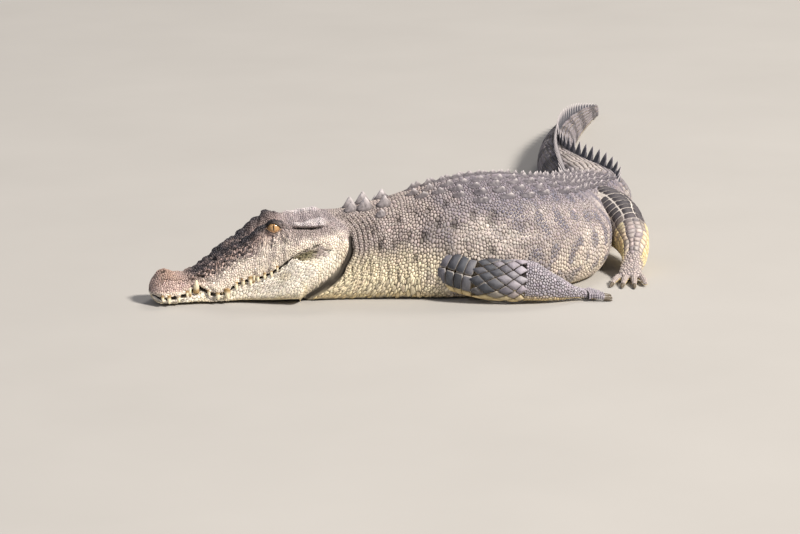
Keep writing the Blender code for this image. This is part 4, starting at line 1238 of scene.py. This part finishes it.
def scales(name, ground, parts, colours_of, rise, fill, deepest=.62, keep=None, sink=.0012):
    """One joined mesh of scales on a surface, from parts of centres and outlines. Every point keeps its
    place in (along, turn), so a scale bends with the body. Height is a share of the scale's own size, up
    to rise metres. Grooves deeper than the deepest stay bare, and so does what lies on the ground."""
    centres, rim = (np.concatenate(arrays) for arrays in zip(*parts))
    points, normals, groove = touch(ground, centres[:, 0], centres[:, 1])
    wanted = (groove < deepest) & ~((points[:, 2] < .006) & (normals[:, 2] < -.5))
    if keep is not None:
        wanted &= keep(centres, points)
    centres, rim, groove = centres[wanted], rim[wanted], groove[wanted]
    count = len(centres)
    dice = np.random.default_rng(1)
    lift = dice.uniform(.8, 1.15, count)
    edge_points, _, _ = touch(ground, rim[..., 0], rim[..., 1])
    size = np.linalg.norm(edge_points - points[wanted][:, None], axis=2).mean(axis=1)
    height = np.minimum(rise, .30 * size) * lift * (1 - groove)
    fills = np.asarray(fill) * dice.uniform(.95, 1.03, (count, 1, 1))
    rings = [centres[:, None] + (rim - centres[:, None]) * fills * reach for reach, _ in RINGS]
    where = np.concatenate([*rings, centres[:, None]], axis=1)
    ring_levels = [np.repeat(share * height[:, None], RIM_POINTS, axis=1) for _, share in RINGS]
    levels = np.concatenate([*ring_levels, height[:, None]], axis=1)
    levels[:, :RIM_POINTS] -= sink
    base, out, deep = touch(ground, where[..., 0], where[..., 1])
    base = base + out * (levels - SUNK)[..., None]
    base[..., 2] = np.maximum(base[..., 2], SCALE_REST)
    scale, between = colours_of(centres[:, 0], centres[:, 1])
    scale = scale * dice.normal(1, .085, (count, 1)) * dice.normal(1, .014, (count, 3))
    worn = scale * 1.22 + .025
    ring_tints = [np.repeat(tint[:, None], RIM_POINTS, axis=1) for tint in (mix(scale, between, .80), scale)]
    tint = np.concatenate([*ring_tints, worn[:, None]], axis=1)
    # Painted shade: scales that lie in grooves are darkened by the groove's depth.
    tint = mix(tint, CREASE_SHADE, np.clip(1.45 * deep, 0, .9)).reshape(-1, 3)
    return shape(name, base.reshape(-1, 3), scale_faces(count), SCALE_HIDE, tint, patches(centres))


def coat(piece):
    """Says what a coat piece rides on: the root."""
    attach(piece, "root")
    return piece


def core(ground):
    """A limb's middle line, and its least thickness round each point of that."""
    line = ground.points.mean(axis=1)
    return line, np.linalg.norm(ground.points - line[:, None], axis=2).min(axis=1)


LIMB_CORES = [core(ground) for ground in limb_grounds.values()]


def clear_of_limbs(centres, points):
    """Whether places on the body lie outside all four legs."""
    inside = np.zeros(len(points), bool)
    for line, reach in LIMB_CORES:
        gaps = np.linalg.norm(points[:, None] - line[None, ::3], axis=2)
        inside |= (gaps < (reach[::3] * .92)[None]).any(axis=1)
    return ~inside


def eyes_clear(centres, points):
    """Whether places lie off the lids, which have only the skin's own fine grain."""
    clear = np.ones(len(points), bool)
    for side_name in ("left", "right"):
        centre, gaze, _, _ = eye_axes(side_name)
        offset = points - centre
        distance = np.linalg.norm(offset, axis=1)
        clear &= ~((distance < .0345) & ((offset / distance[:, None]) @ gaze > .22))
    return clear


def lips_clear(centres, points):
    """Whether places lie off the smooth edges of the lips."""
    return (centres[:, 0] > .458) | (np.abs(np.abs(centres[:, 1]) - .500) > .021)


# Rows are straight up to the first station, end at the jowl's edge, and are straight again from the last.
HEAD_STRAIGHT, HEAD_REACH, NECK_REACH = 0.30, 0.56, 0.87


def head_bend(row, turn):
    """Stretches the head's rows back to the edge of the jowl, from where they are still straight."""
    share = np.clip((row - HEAD_STRAIGHT) / (HEAD_REACH - HEAD_STRAIGHT), 0, None)
    end = jowl_edge(np.abs(turn)) + .005
    return np.where(row < HEAD_STRAIGHT, row, HEAD_STRAIGHT + share * (end - HEAD_STRAIGHT))


def neck_bend(row, turn):
    """Starts the neck's rows at the edge of the jowl, and straightens them towards the shoulders."""
    v = np.abs(turn)
    share = (row - HEAD_REACH) / (NECK_REACH - HEAD_REACH)
    start = jowl_edge(v) + .010 * ease(v, .25, .40) + .012 * ease(v, .45, .60)
    return np.where(row > NECK_REACH, row, start + share * (NECK_REACH - start))


def only(low, high, sign, *others):
    """A test of places: between two stations, on one side, and passed by the other tests."""
    def keep(centres, points):
        wanted = (centres[:, 0] >= low) & (centres[:, 0] < high) & ((centres[:, 1] >= 0) == (sign > 0))
        for other in others:
            wanted &= other(centres, points)
        return wanted
    return keep


def towards(sign, low, high):
    """A range of turns on the left side, or mirrored to the right."""
    return (low, high) if sign > 0 else (-high, -low)


SIDES = (("left", 1), ("right", -1))
head = pebbles(body, .004, HEAD_REACH, -.5, .5, .0082, 11, .35, head_bend)
neck = pebbles(body, HEAD_REACH, .90, -.56, .56, (.0088, .0118), 17, .35, neck_bend)
for side_name, sign in SIDES:
    for name, low, high in (("snout", 0, .32), ("face", .32, .70)):
        coat(scales(f"{name}_scales_{side_name}", body, [head], body_colours, .0008, .965,
                    keep=only(low, high, sign, eyes_clear, lips_clear)))
    jowl = pebbles(body, .010, HEAD_REACH, *towards(sign, .490, .95), .0125, 13, .7 * sign, head_bend)
    coat(scales(f"jowl_scales_{side_name}", body, [jowl], body_colours, .0004, .985,
                deepest=.25, keep=lips_clear, sink=.0004))
    coat(scales(f"neck_scales_{side_name}", body, [neck], body_colours, .0010, .96,
                keep=only(.5, .95, sign, clear_of_limbs)))
    throat = pebbles(body, HEAD_REACH, .90, *towards(sign, .552, .95), (.0110, .0140), 14, .7 * sign,
                     neck_bend, tall=2.1)
    coat(scales(f"throat_scales_{side_name}", body, [throat], body_colours, .0012, .96,
                deepest=.42, keep=clear_of_limbs))
    trunk = pebbles(body, .900, SHIELD_END, *towards(sign, -.01, .80), .0120, 18, .42 * sign, tall=1.12)
    for name, low, high in (("shoulder", .86, 1.25), ("flank", 1.25, 2.0)):
        coat(scales(f"{name}_scales_{side_name}", body, [trunk], body_colours, .0012, .91,
                    keep=only(low, high, sign, clear_of_limbs)))

# Rings of the tail, each with its rows of scales and its part of the crest, and the tip without any.
WHORLS = 34
TAIL_TIP = 0.06


def whorl_stations():
    """The fronts and peaks of the tail's whorls, which shorten towards the tip, and their ends."""
    share = np.linspace(0, 1, WHORLS + 1)
    ends = SHIELD_END + (BODY_LENGTH - TAIL_TIP - SHIELD_END) * (1.22 * share - 0.22 * share**2)
    return ends[:-1], ends[:-1] + 0.72 * np.diff(ends), ends


def whorl_rows(first, last, each):
    """Stations of crosswise rows on the tail, so many to each whorl."""
    _, _, ends = whorl_stations()
    ends = ends[(ends > first - .01) & (ends < last + .01)]
    share = (np.arange(each) + .5) / each
    return (ends[:-1, None] + np.diff(ends)[:, None] * share[None]).ravel()


tail = [plates(net, .65) for net in (
    lattice(body, whorl_rows(1.90, 2.60, 3), -.93, .93, 40, "oblong", .15, 19),
    lattice(body, whorl_rows(2.60, 3.40, 3), -.93, .93, 28, "oblong", .15, 20),
    lattice(body, whorl_rows(3.40, 4.15, 2), -.93, .93, 18, "oblong", .13, 22),
    lattice(body, np.arange(4.146, 4.188, .011), -1, 1, 8, "oblong", .08, 29),
)]
for side_name, sign in SIDES:
    coat(scales(f"tail_scales_{side_name}", body, tail, body_colours, .0034, (.90, .95),
                keep=only(1.8, 4.3, sign, clear_of_limbs)))

# ---- scales of the limbs -------------------------------------
# Large horny plates: bands round the shoulder and the thigh, and rhombs on the arm. They are smaller
# below the joint, uneven towards the foot, and short bands across the digits.
BODY_MARGIN = 0.004


def outside_body(centres, points):
    """Whether points lie outside the body: on the outer side of its nearest skin point."""
    coarse = body.points[::6, ::8].reshape(-1, 3)
    normals = body.normals[::6, ::8].reshape(-1, 3)
    nearest = np.concatenate([
        np.argmin(((part[:, None] - coarse[None]) ** 2).sum(axis=2), axis=1)
        for part in np.array_split(points, max(1, len(points) // 400))
    ])
    return ((points - coarse[nearest]) * normals[nearest]).sum(axis=1) > -BODY_MARGIN


def bands(ground, first, last, pitch, columns, kind, jitter, seed, sharp, turn=.2):
    """Plates in rows round a limb or a digit, a pitch apart."""
    rows = rows_between(ground, first, last, pitch, turn)
    return plates(lattice(ground, rows, -1, 1, columns, kind, jitter, seed), sharp)


for limb_name, ground in limb_grounds.items():
    kind = limb_name.split("_")[1]
    total = ground.along[-1]

    def colours_here(along, turn):
        return limb_colours(kind, along / total, turn)

    if kind == "fore":
        last_plate = .66 * total
        upper = [
            bands(ground, .00, .262, .029, 7, "oblong", .08, 23, .8),
            bands(ground, .266, last_plate, .0255, 11, "rhomb", .10, 26, .8),
        ]
    else:
        knee, last_plate = .62 * total, .84 * total
        upper = [
            bands(ground, .02, knee, .031, 9, "oblong", .10, 27, .8),
            bands(ground, knee, last_plate, .017, 14, "oblong", .14, 28, .6),
        ]
    fine = pebbles(ground, last_plate, total * .995, -1, 1, .0105, 24, .2)
    coat(scales(f"{limb_name}_scales", ground, upper, colours_here, .0028, (.96, .98), keep=outside_body))
    coat(scales(f"{limb_name}_fine_scales", ground, [fine], colours_here, .0022, .93, keep=outside_body))
    digit_pieces = []
    for number, digit in enumerate(foot_grounds[limb_name]):
        length = digit.along[-1]
        across = bands(digit, length * .25, length * .97, .0075, 9, "oblong", .04, 25 + number, .6, turn=0)
        digit_pieces.append(scales(
            f"{limb_name}_digit_{number}_scales", digit, [across],
            lambda along, turn: limb_colours(kind, along * 0 + 1, turn), .0014, .93,
        ))
    first_piece = digit_pieces[0]
    with bpy.context.temp_override(
        active_object=first_piece, selected_editable_objects=digit_pieces, object=first_piece
    ):
        bpy.ops.object.join()
    first_piece.name = f"{limb_name}_digit_scales"
    coat(first_piece)

# ---- back scutes ---------------------------------------------
# Oval bony plates in nineteen crosswise rows of up to eight, each with a keel that rises to the rear.
# Their keels are paler than the hide with a painted highlight, and their bases and rims are darkened as
# painted shade. The nape has its own cluster of taller ones, whose worn horn is paler.
BACK_ROWS = 19
SCUTE_AROUND = 24
# Shares of a scute's reach at which its rings lie.
SCUTE_RINGS = (1.0, .94, .80, .60, .38, .18)
# Nape scutes: station, distance from the middle, and size as a share of the largest one's.
NAPE_SCUTES = ((.690, .030, .85), (.735, .040, 1.0), (.800, .045, .9), (.785, .098, .62))
NAPE_LONG, NAPE_WIDE, NAPE_KEEL = 0.030, 0.028, 0.038


def scute_faces(count):
    """Faces of many scutes: quads between their rings, a peak in the middle, and a base."""
    rings = len(SCUTE_RINGS)
    k = np.arange(SCUTE_AROUND)
    inner, middle = (rings - 1) * SCUTE_AROUND, rings * SCUTE_AROUND
    peak = np.stack([inner + k, inner + (k + 1) % SCUTE_AROUND, 0 * k + middle], axis=1)
    return many([grid_faces(rings, SCUTE_AROUND), peak, k[None, ::-1]], count, middle + 1)


def scutes(name, along, turn, half_long, half_wide, keel, squareness, steep, worn, seed):
    """Keeled oval plates. Height is a low dome plus a keel: a bell curve across, that grows to the rear
    third and drops behind it. Half sizes are in metres over the surface. Worn ones are paler. Each keel
    carries a painted highlight, and the base and rim painted shade."""
    count = len(along)
    angle = 2 * np.pi * np.arange(SCUTE_AROUND) / SCUTE_AROUND
    circle = np.stack([np.cos(angle), np.sin(angle)], axis=1)
    outline = circle / (np.abs(circle) ** squareness).sum(axis=1, keepdims=True) ** (1 / squareness)
    disc = np.concatenate([outline * ring for ring in SCUTE_RINGS] + [[[0, 0]]])
    reach = np.concatenate([np.full(SCUTE_AROUND, ring) for ring in SCUTE_RINGS] + [[0]])
    dice = np.random.default_rng(seed)
    here, _, _ = touch(body, along, turn)
    beside, _, _ = touch(body, along, turn + .01)
    behind, _, _ = touch(body, along + .01, turn)
    per_turn = .01 / np.linalg.norm(beside - here, axis=1)
    per_along = .01 / np.linalg.norm(behind - here, axis=1)
    across, back = disc[None, :, 0], disc[None, :, 1]
    where_along = along[:, None] + back * (half_long * per_along)[:, None]
    where_turn = turn[:, None] + across * (half_wide * per_turn)[:, None]
    base, out, _ = touch(body, where_along, where_turn)
    dome = (1 - reach**2.5)[None] * .07 + ease(1 - reach, 0, .10)[None] * .09
    ramp = ease(back, -1.15, .50) ** steep * (1 - ease(back, .38, .92))
    ridge = np.exp(-np.abs(across / (.15 + .08 * (1 - ramp))) ** 1.05) * ramp
    pitted = .045 * rumple(where_along, where_turn, .016, seed + 1) * (1 - reach**2)[None]
    level = (dome + .84 * ridge + pitted) * (keel * dice.uniform(.88, 1.12, count))[:, None]
    level = np.where(reach[None] > .99, -.004, level)
    points = base + out * (level - .001)[..., None]
    tone = dice.normal(1, .05, (count, 1, 1))
    low = mix(BACK, body_colours(where_along, where_turn)[0], .5)
    # Painted highlight along each keel, added to the worn paleness and a random tone.
    pale = worn * (1 - reach**2)[None] + 1.10 * ridge**1.5
    pale = pale + .22 * rumple(where_along, where_turn, .012, seed + 2)
    # Painted shade: the bases are darkened, and the rims darker still.
    tint = mix(low * .46, PALE_SCUTE, pale) * tone
    tint = mix(tint, low * .38, (ease(reach, .80, 1.0) * .70)[None] * np.ones((count, 1)))
    root = np.stack([(along - along.min()) / np.ptp(along), (turn + 1) / 2], axis=1) * .96 + .02
    chart = root[:, None] + disc[None] * PATCH
    return coat(shape(name, points.reshape(-1, 3), scute_faces(count), SCALE_HIDE, tint.reshape(-1, 3),
                      chart.reshape(-1, 2)))


row_pitch = (SHIELD_END - SHIELD_START) / BACK_ROWS
row_middles = SHIELD_START + row_pitch * (np.arange(BACK_ROWS) + .52)
keels = [sign * spread for spread in KEEL_SPREAD for sign in (1, -1)]
station, turn = (g.ravel() for g in np.meshgrid(row_middles, keels))
dice = np.random.default_rng(61)
staggered = np.abs(turn) > KEEL_SPREAD[0] + .01
station = station + dice.normal(0, .0035, station.shape) + row_pitch * .45 * staggered
here = station > np.interp(np.abs(turn), KEEL_SPREAD, (.80, .80, .98, 1.06))
station, turn = station[here], turn[here] * dice.normal(1, .02, here.sum())
outer = np.abs(turn) > KEEL_SPREAD[-1] - .02
grown = .72 + .28 * ease(station, .88, 1.10)
wide = np.where(outer, .0140, .0165) * grown * (1 - .35 * ease(station, 1.45, 1.9))
long = row_pitch * np.where(outer, .58, .49) * dice.uniform(.90, 1.08, station.shape)
keel = (.0180 - .0052 * window(station, 1.0, 1.30, .08)) * np.where(outer, 1.1, 1.0)
scutes("back_scutes", station, turn, long, wide, keel, squareness=2.3, steep=3.2, worn=.0, seed=62)

nape = np.array([(s, side * k, size) for s, side, size in NAPE_SCUTES for k in (1, -1)])
nape_section = np.linspace(0, .5, 60)
nape_side, _ = half_section(np.array([.745]), nape_section)
nape_turns = np.interp(np.abs(nape[:, 1]), np.abs(nape_side[0]), nape_section) * np.sign(nape[:, 1])
nape_size = nape[:, 2]
scutes("nape_scutes", nape[:, 0], nape_turns, NAPE_LONG * nape_size, NAPE_WIDE * nape_size,
       NAPE_KEEL * nape_size, squareness=2.2, steep=1.3, worn=.24, seed=71)

# ---- the tail's crest ----------------------------------------
# Tall thin upright scutes along the tail: two rows at its root, that draw together into one. Each is a
# blade with a swept-back tip and fine upright ribs.
CREST_JOIN, CREST_TURN = 3.12, 0.234
# The blades' sides are coloured dark blue grey as painted shade.
BLADE_SHADE = paint("#3a3d48")
# Station and height of the blades.
CREST = ((1.91, .018), (2.00, .040), (2.14, .056), (2.9, .056), (3.2, .068), (3.6, .060), (4.14, .020))
BLADE_ROWS, BLADE_COLUMNS, RIBS = 9, 13, 16


def blades():
    """The crest's blades as closed grids: around each level a flat lens, smaller and further back the
    higher it is, so that the outline is a swept triangle with a rounded tip."""
    fronts, peaks, ends = whorl_stations()
    lengths = np.diff(ends)
    rows = [(k, sign) for k in range(WHORLS) for sign in ((0,) if peaks[k] > CREST_JOIN else (1, -1))]
    number, sign = np.array(rows).T
    high = read(CREST, peaks[number])
    level = np.linspace(0, 1, BLADE_ROWS)[None, :, None]
    lens = np.linspace(0, 2 * np.pi, 2 * BLADE_COLUMNS, endpoint=False)[None, None, :]
    chord, bulge = np.cos(lens), np.sin(lens)
    shrink = (1 - level**2.3) ** .9 * .95 + .05
    middle = .46 + .42 * level**1.4
    along = fronts[number][:, None, None] + lengths[number][:, None, None] * (middle + chord * .60 * shrink)
    thick = (.0062 * (1 - level) ** .8 + .0012) * (lengths[number] / .07)[:, None, None]
    ribs = 1 + .16 * np.cos(chord * RIBS)
    side = bulge * thick * np.sqrt(shrink + .02) * ribs
    apart = CREST_TURN * (1 - ease(peaks[number], SHIELD_END, CREST_JOIN)) * sign
    lean = .45 * (1 - ease(peaks[number], 2.2, CREST_JOIN)) * sign
    along_b, turn_b = np.broadcast_arrays(along, apart[:, None, None])
    base, _, _ = touch(body, along_b, turn_b)
    angle = np.interp(along_b, FINE, FINE_HEADING)
    out = np.stack([np.sin(angle), -np.cos(angle), 0 * angle], axis=-1)
    rise = (level * high[:, None, None] * 1.02 - .012) + 0 * along_b
    tilt = lean[:, None, None] * np.maximum(rise, 0)
    points = base + out * (side + tilt)[..., None]
    points[..., 2] += rise * (1 - .25 * np.abs(lean))[:, None, None]
    return number, level + 0 * along_b, chord + 0 * along_b, along_b, turn_b, points


def crest():
    """Joins all the blades in one mesh, pale at their tips, with painted highlights on their edges and ribs,
    and painted shade on their sides and between the ribs.
    """
    number, level, chord, along, turn, points = blades()
    around = 2 * BLADE_COLUMNS
    blade = [grid_faces(BLADE_ROWS, around), *ring_caps(BLADE_ROWS, around)]
    faces = many(blade, len(number), BLADE_ROWS * around)
    # Painted highlight on the blades' front and rear edges.
    edge = ease(np.abs(chord), .55, .98) * ease(level, .05, .4)
    tint = mix(BLADE_SHADE, PALE_SCUTE, .03 + .75 * ease(level, .62, 1.0) + .55 * edge)
    # Painted light and shade on the ribs: lighter on each rib and darker between.
    tint = tint * (1 + .10 * np.cos(chord * RIBS))[..., None]
    root = np.stack([(along[:, 0, 0] - 1.9) / 2.4, .5 + turn[:, 0, 0]], axis=1)
    disc = np.stack([chord, level * 2 - 1], axis=-1) * PATCH
    chart = root[:, None, None] + disc
    return shape("tail_crest", points.reshape(-1, 3), faces, SCALE_HIDE, tint.reshape(-1, 3),
                 chart.reshape(-1, 2))


coat(crest())

# ---- eyes ----------------------------------------------------
# Wet amber eyeballs with an upright slit pupil, sunk between the lids. The clear cornea makes the front
# of each swell a little and shine.
CORNEA = 0.06
EYE_ROWS, EYE_COLUMNS = 41, 48


def eye_material():
    """Wet eye: amber iris with fine spokes and a dark ring, a black slit pupil, under a clear cornea. It
    is drawn on each point's place across the gaze, where the ball's edge is 1."""
    made, tree, shader = blank_material("wet_amber_eye")
    gaze = add(tree, "Attribute", attribute_name="gaze").outputs["Vector"]
    parts = add(tree, "SeparateXYZ", {"Vector": gaze})
    across, up = parts.outputs["X"], parts.outputs["Y"]
    spokes = add(tree, "TexNoise", {"Vector": gaze, "Scale": 9.0, "Detail": 4.0})
    ramp = add(tree, "ValToRGB", {"Fac": spokes.outputs["Fac"]})
    ramp.color_ramp.elements[0].position = .30
    ramp.color_ramp.elements[1].position = .68
    ramp.color_ramp.elements[0].color = (*paint("#7b5a34"), 1)
    ramp.color_ramp.elements[1].color = (*paint("#d9ae7a"), 1)
    radius = add(tree, "VectorMath", {0: gaze}, operation="LENGTH").outputs["Value"]
    ring = add(tree, "MapRange", {"Value": radius, "From Min": .80, "From Max": .93},
               interpolation_type="SMOOTHSTEP")
    dark = add(tree, "Mix", {"Factor": ring.outputs["Result"], 6: ramp.outputs["Color"],
                             7: (*paint("#2b2118"), 1)}, data_type="RGBA")
    tall = add(tree, "Math", {0: up, 1: up}, operation="MULTIPLY")
    slim = add(tree, "Math", {0: tall.outputs["Value"], 1: -.30, 2: .085}, operation="MULTIPLY_ADD")
    wide = add(tree, "Math", {0: across}, operation="ABSOLUTE")
    slit = add(tree, "Math", {0: wide.outputs["Value"], 1: slim.outputs["Value"]}, operation="SUBTRACT")
    open_slit = add(tree, "MapRange", {"Value": slit.outputs["Value"], "From Min": -.012, "From Max": .012})
    final = add(tree, "Mix", {"Factor": open_slit.outputs["Result"], 6: (*paint("#050404"), 1),
                              7: dark.outputs[2]}, data_type="RGBA")
    tree.links.new(final.outputs[2], shader.inputs["Base Color"])
    for socket, value in (("Roughness", .28), ("IOR", 1.38), ("Coat Weight", 1.0), ("Coat Roughness", .03)):
        shader.inputs[socket].default_value = value
    return made


WET_EYE = eye_material()


def eyeball(side_name):
    """A ball whose front swells a little as the cornea. Each point's place across the gaze is kept."""
    centre, gaze, forward, up = eye_axes(side_name)
    polar = np.linspace(0, np.pi, EYE_ROWS)[1:-1, None]
    around = np.linspace(0, 2 * np.pi, EYE_COLUMNS, endpoint=False)[None]
    a, b, c = np.sin(polar) * np.cos(around), np.sin(polar) * np.sin(around), np.cos(polar) + 0 * around
    swell = EYE_RADIUS * (1 + CORNEA * ease(c, .62, 1.0))
    ball = centre + (a[..., None] * forward + b[..., None] * up + c[..., None] * gaze) * swell[..., None]
    poles = np.stack([centre + gaze * EYE_RADIUS * (1 + CORNEA), centre - gaze * EYE_RADIUS])
    rows, columns = ball.shape[:2]
    k = np.arange(columns)
    after = (k + 1) % columns
    last = (rows - 1) * columns
    front = np.stack([k, after, 0 * k + rows * columns], axis=1)
    rear = np.stack([last + after, last + k, 0 * k + rows * columns + 1], axis=1)
    quads = grid_faces(rows, columns)[:, ::-1]
    if np.cross(forward, up) @ gaze < 0:
        quads, front, rear = quads[:, ::-1], front[:, ::-1], rear[:, ::-1]
    points = np.concatenate([ball.reshape(-1, 3), poles])
    made = shape(f"{side_name}_eyeball", points, [quads, front, rear], WET_EYE)
    flat = np.concatenate([np.stack([a, b, 0 * a], axis=-1).reshape(-1, 3), np.zeros((2, 3))])
    flat[-1] = (1, 0, 0)
    across = made.data.attributes.new("gaze", "FLOAT_VECTOR", "POINT")
    across.data.foreach_set("vector", flat.astype(np.float32).ravel())
    return made


for side_name, _ in SIDES:
    ball = eyeball(side_name)
    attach(ball, "root")
    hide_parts(f"{side_name}_eye")

# ---- teeth ---------------------------------------------------
# Stout conical teeth of ivory dentine, stained brown at the gum. They grow from sockets in both jaws
# and stand outside the shut lips, the lower ones in notches of the upper lip.
LOWER_TEETH = ((.150, .030, .0085), (.128, .014, .0050), (.236, .015, .0050), (.340, .012, .0045))
GUM_STAIN, IVORY = paint("#a3865a"), paint("#ece0c2")


def tooth_material():
    """Worn dentine: ivory and smooth, with upright stains 4 mm wide over its own darker gum end."""
    made, tree, shader = blank_material("stained_dentine")
    marking = add(tree, "Attribute", attribute_name="marking").outputs["Color"]
    place = add(tree, "TexCoord").outputs["Object"]
    streaks = add(tree, "Mapping", {"Vector": place, "Scale": (1.0, 1.0, .25)})
    stain = add(tree, "TexNoise", {"Vector": streaks.outputs["Vector"], "Scale": 1 / .004, "Detail": 3.0})
    tone = add(tree, "MapRange", {"Value": stain.outputs["Fac"], "From Min": .35, "From Max": .65,
                                  "To Min": .80, "To Max": 1.08})
    shaded = add(tree, "VectorMath", {0: marking, "Scale": tone.outputs["Result"]}, operation="SCALE")
    tree.links.new(shaded.outputs["Vector"], shader.inputs["Base Color"])
    bump = add(tree, "Bump", {"Height": stain.outputs["Fac"], "Distance": .0006, "Strength": .4})
    tree.links.new(bump.outputs["Normal"], shader.inputs["Normal"])
    shader.inputs["Roughness"].default_value = 0.34
    shader.inputs["Subsurface Weight"].default_value = 0.15
    shader.inputs["Subsurface Radius"].default_value = (0.004, 0.0025, 0.0015)
    return made


DENTINE = tooth_material()


def cone(root, tip, radius, bend, rows=12, around=14):
    """Rings of a curved cone with a blunt tip: its line bows by bend, and its radius falls as an arc."""
    step = np.linspace(0, 1, rows)
    line = root + (tip - root) * step[:, None] + bend * (np.sin(np.pi * step / 2) ** 2 - step)[:, None]
    ahead = unit(np.gradient(line, axis=0))
    across = unit(np.cross(ahead, (0.31, 0.22, .1)))
    over = np.cross(ahead, across)
    angle = np.linspace(0, 2 * np.pi, around, endpoint=False)[None, :, None]
    size = (radius * np.sqrt(np.clip(1 - step**1.8, .0025, 1)))[:, None, None]
    return line[:, None] + (np.cos(angle) * across[:, None] + np.sin(angle) * over[:, None]) * size


def outward_facing(made):
    """Turns a closed mesh's faces to point out of it."""
    work = bmesh.new()
    work.from_mesh(made.data)
    bmesh.ops.recalc_face_normals(work, faces=work.faces)
    work.to_mesh(made.data)
    work.free()


def tooth_row(name, table, lower, sign):
    """The teeth of one jaw on one side, in one mesh: roots inside the lip, and tips past its edge."""
    points, tints = [], []
    for station, length, radius in table:
        lip = float(read(LIP, station))
        side = float(read(JOWL_WIDTH if lower else JAW_WIDTH, station))
        if lower:
            root = place(station, sign * (side - .008), lip - .016)
            tip = place(station, sign * (side - .002), lip + length)
        else:
            root = place(station, sign * (side - .004), lip + .010)
            tip = place(station, sign * (side + .002), lip - length)
        out = unit(place(station, sign, 0) - place(station, 0, 0))
        rings = cone(root, tip, radius * 1.25, out * .004)
        tint = mix(GUM_STAIN, IVORY, ease(np.linspace(0, 1, len(rings)), .18, .52))
        points.append(rings.reshape(-1, 3))
        tints.append(np.repeat(tint, rings.shape[1], axis=0))
    rows, around = rings.shape[:2]
    faces = many([grid_faces(rows, around), *ring_caps(rows, around)], len(table), rows * around)
    made = shape(name, np.concatenate(points), faces, DENTINE, np.concatenate(tints))
    outward_facing(made)
    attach(made, "root")


for side_name, sign in SIDES:
    tooth_row(f"upper_teeth_{side_name}", UPPER_TEETH, False, sign)
    tooth_row(f"lower_teeth_{side_name}", LOWER_TEETH, True, sign)

# ---- claws ---------------------------------------------------
# Short blunt claws of dark streaky horn, one on each of the inner digits. Each is a curved cone that
# grows over the digit's end and rests its tip on the ground.
CLAW_LENGTH, CLAW_RADIUS, CLAW_ROOT = 0.024, 0.0066, 0.006
CLAW_BOW = np.array([0, 0, 0.010])
CLAW_TIP_HEIGHT, CLAW_REST = 0.0025, 0.0003


def claw_material():
    """Horn: dark and smooth with a dull gloss, clouded paler in spots about 3 mm wide."""
    made, tree, shader = blank_material("worn_claw_horn")
    place = add(tree, "TexCoord").outputs["Object"]
    layers = add(tree, "TexNoise", {"Vector": place, "Scale": 1 / .003, "Detail": 4.0})
    ramp = add(tree, "ValToRGB", {"Fac": layers.outputs["Fac"]})
    ramp.color_ramp.elements[0].color = (*paint("#2c2722"), 1)
    ramp.color_ramp.elements[1].color = (*paint("#7a6d5c"), 1)
    tree.links.new(ramp.outputs["Color"], shader.inputs["Base Color"])
    bump = add(tree, "Bump", {"Height": layers.outputs["Fac"], "Distance": .0005, "Strength": .5})
    tree.links.new(bump.outputs["Normal"], shader.inputs["Normal"])
    shader.inputs["Roughness"].default_value = 0.38
    return made


CLAW_HORN = claw_material()
for limb_name, claws in claw_lines.items():
    foot_node = f"{limb_name.split('_')[0]}_{LIMBS[limb_name]['foot']['node']}"
    for number, tip, ray in claws:
        node_name = f"{foot_node}_claw_{number + 1}"
        end = tip + ray * CLAW_LENGTH
        end[2] = CLAW_TIP_HEIGHT
        rings = cone(tip - ray * CLAW_ROOT, end, CLAW_RADIUS, CLAW_BOW)
        rings[..., 2] = np.maximum(rings[..., 2], CLAW_REST)
        rows, around = rings.shape[:2]
        faces = [grid_faces(rows, around), *ring_caps(rows, around)]
        made = shape(f"claw_{node_name}", rings.reshape(-1, 3), faces, CLAW_HORN)
        outward_facing(made)
        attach(made, "root")
        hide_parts(node_name)
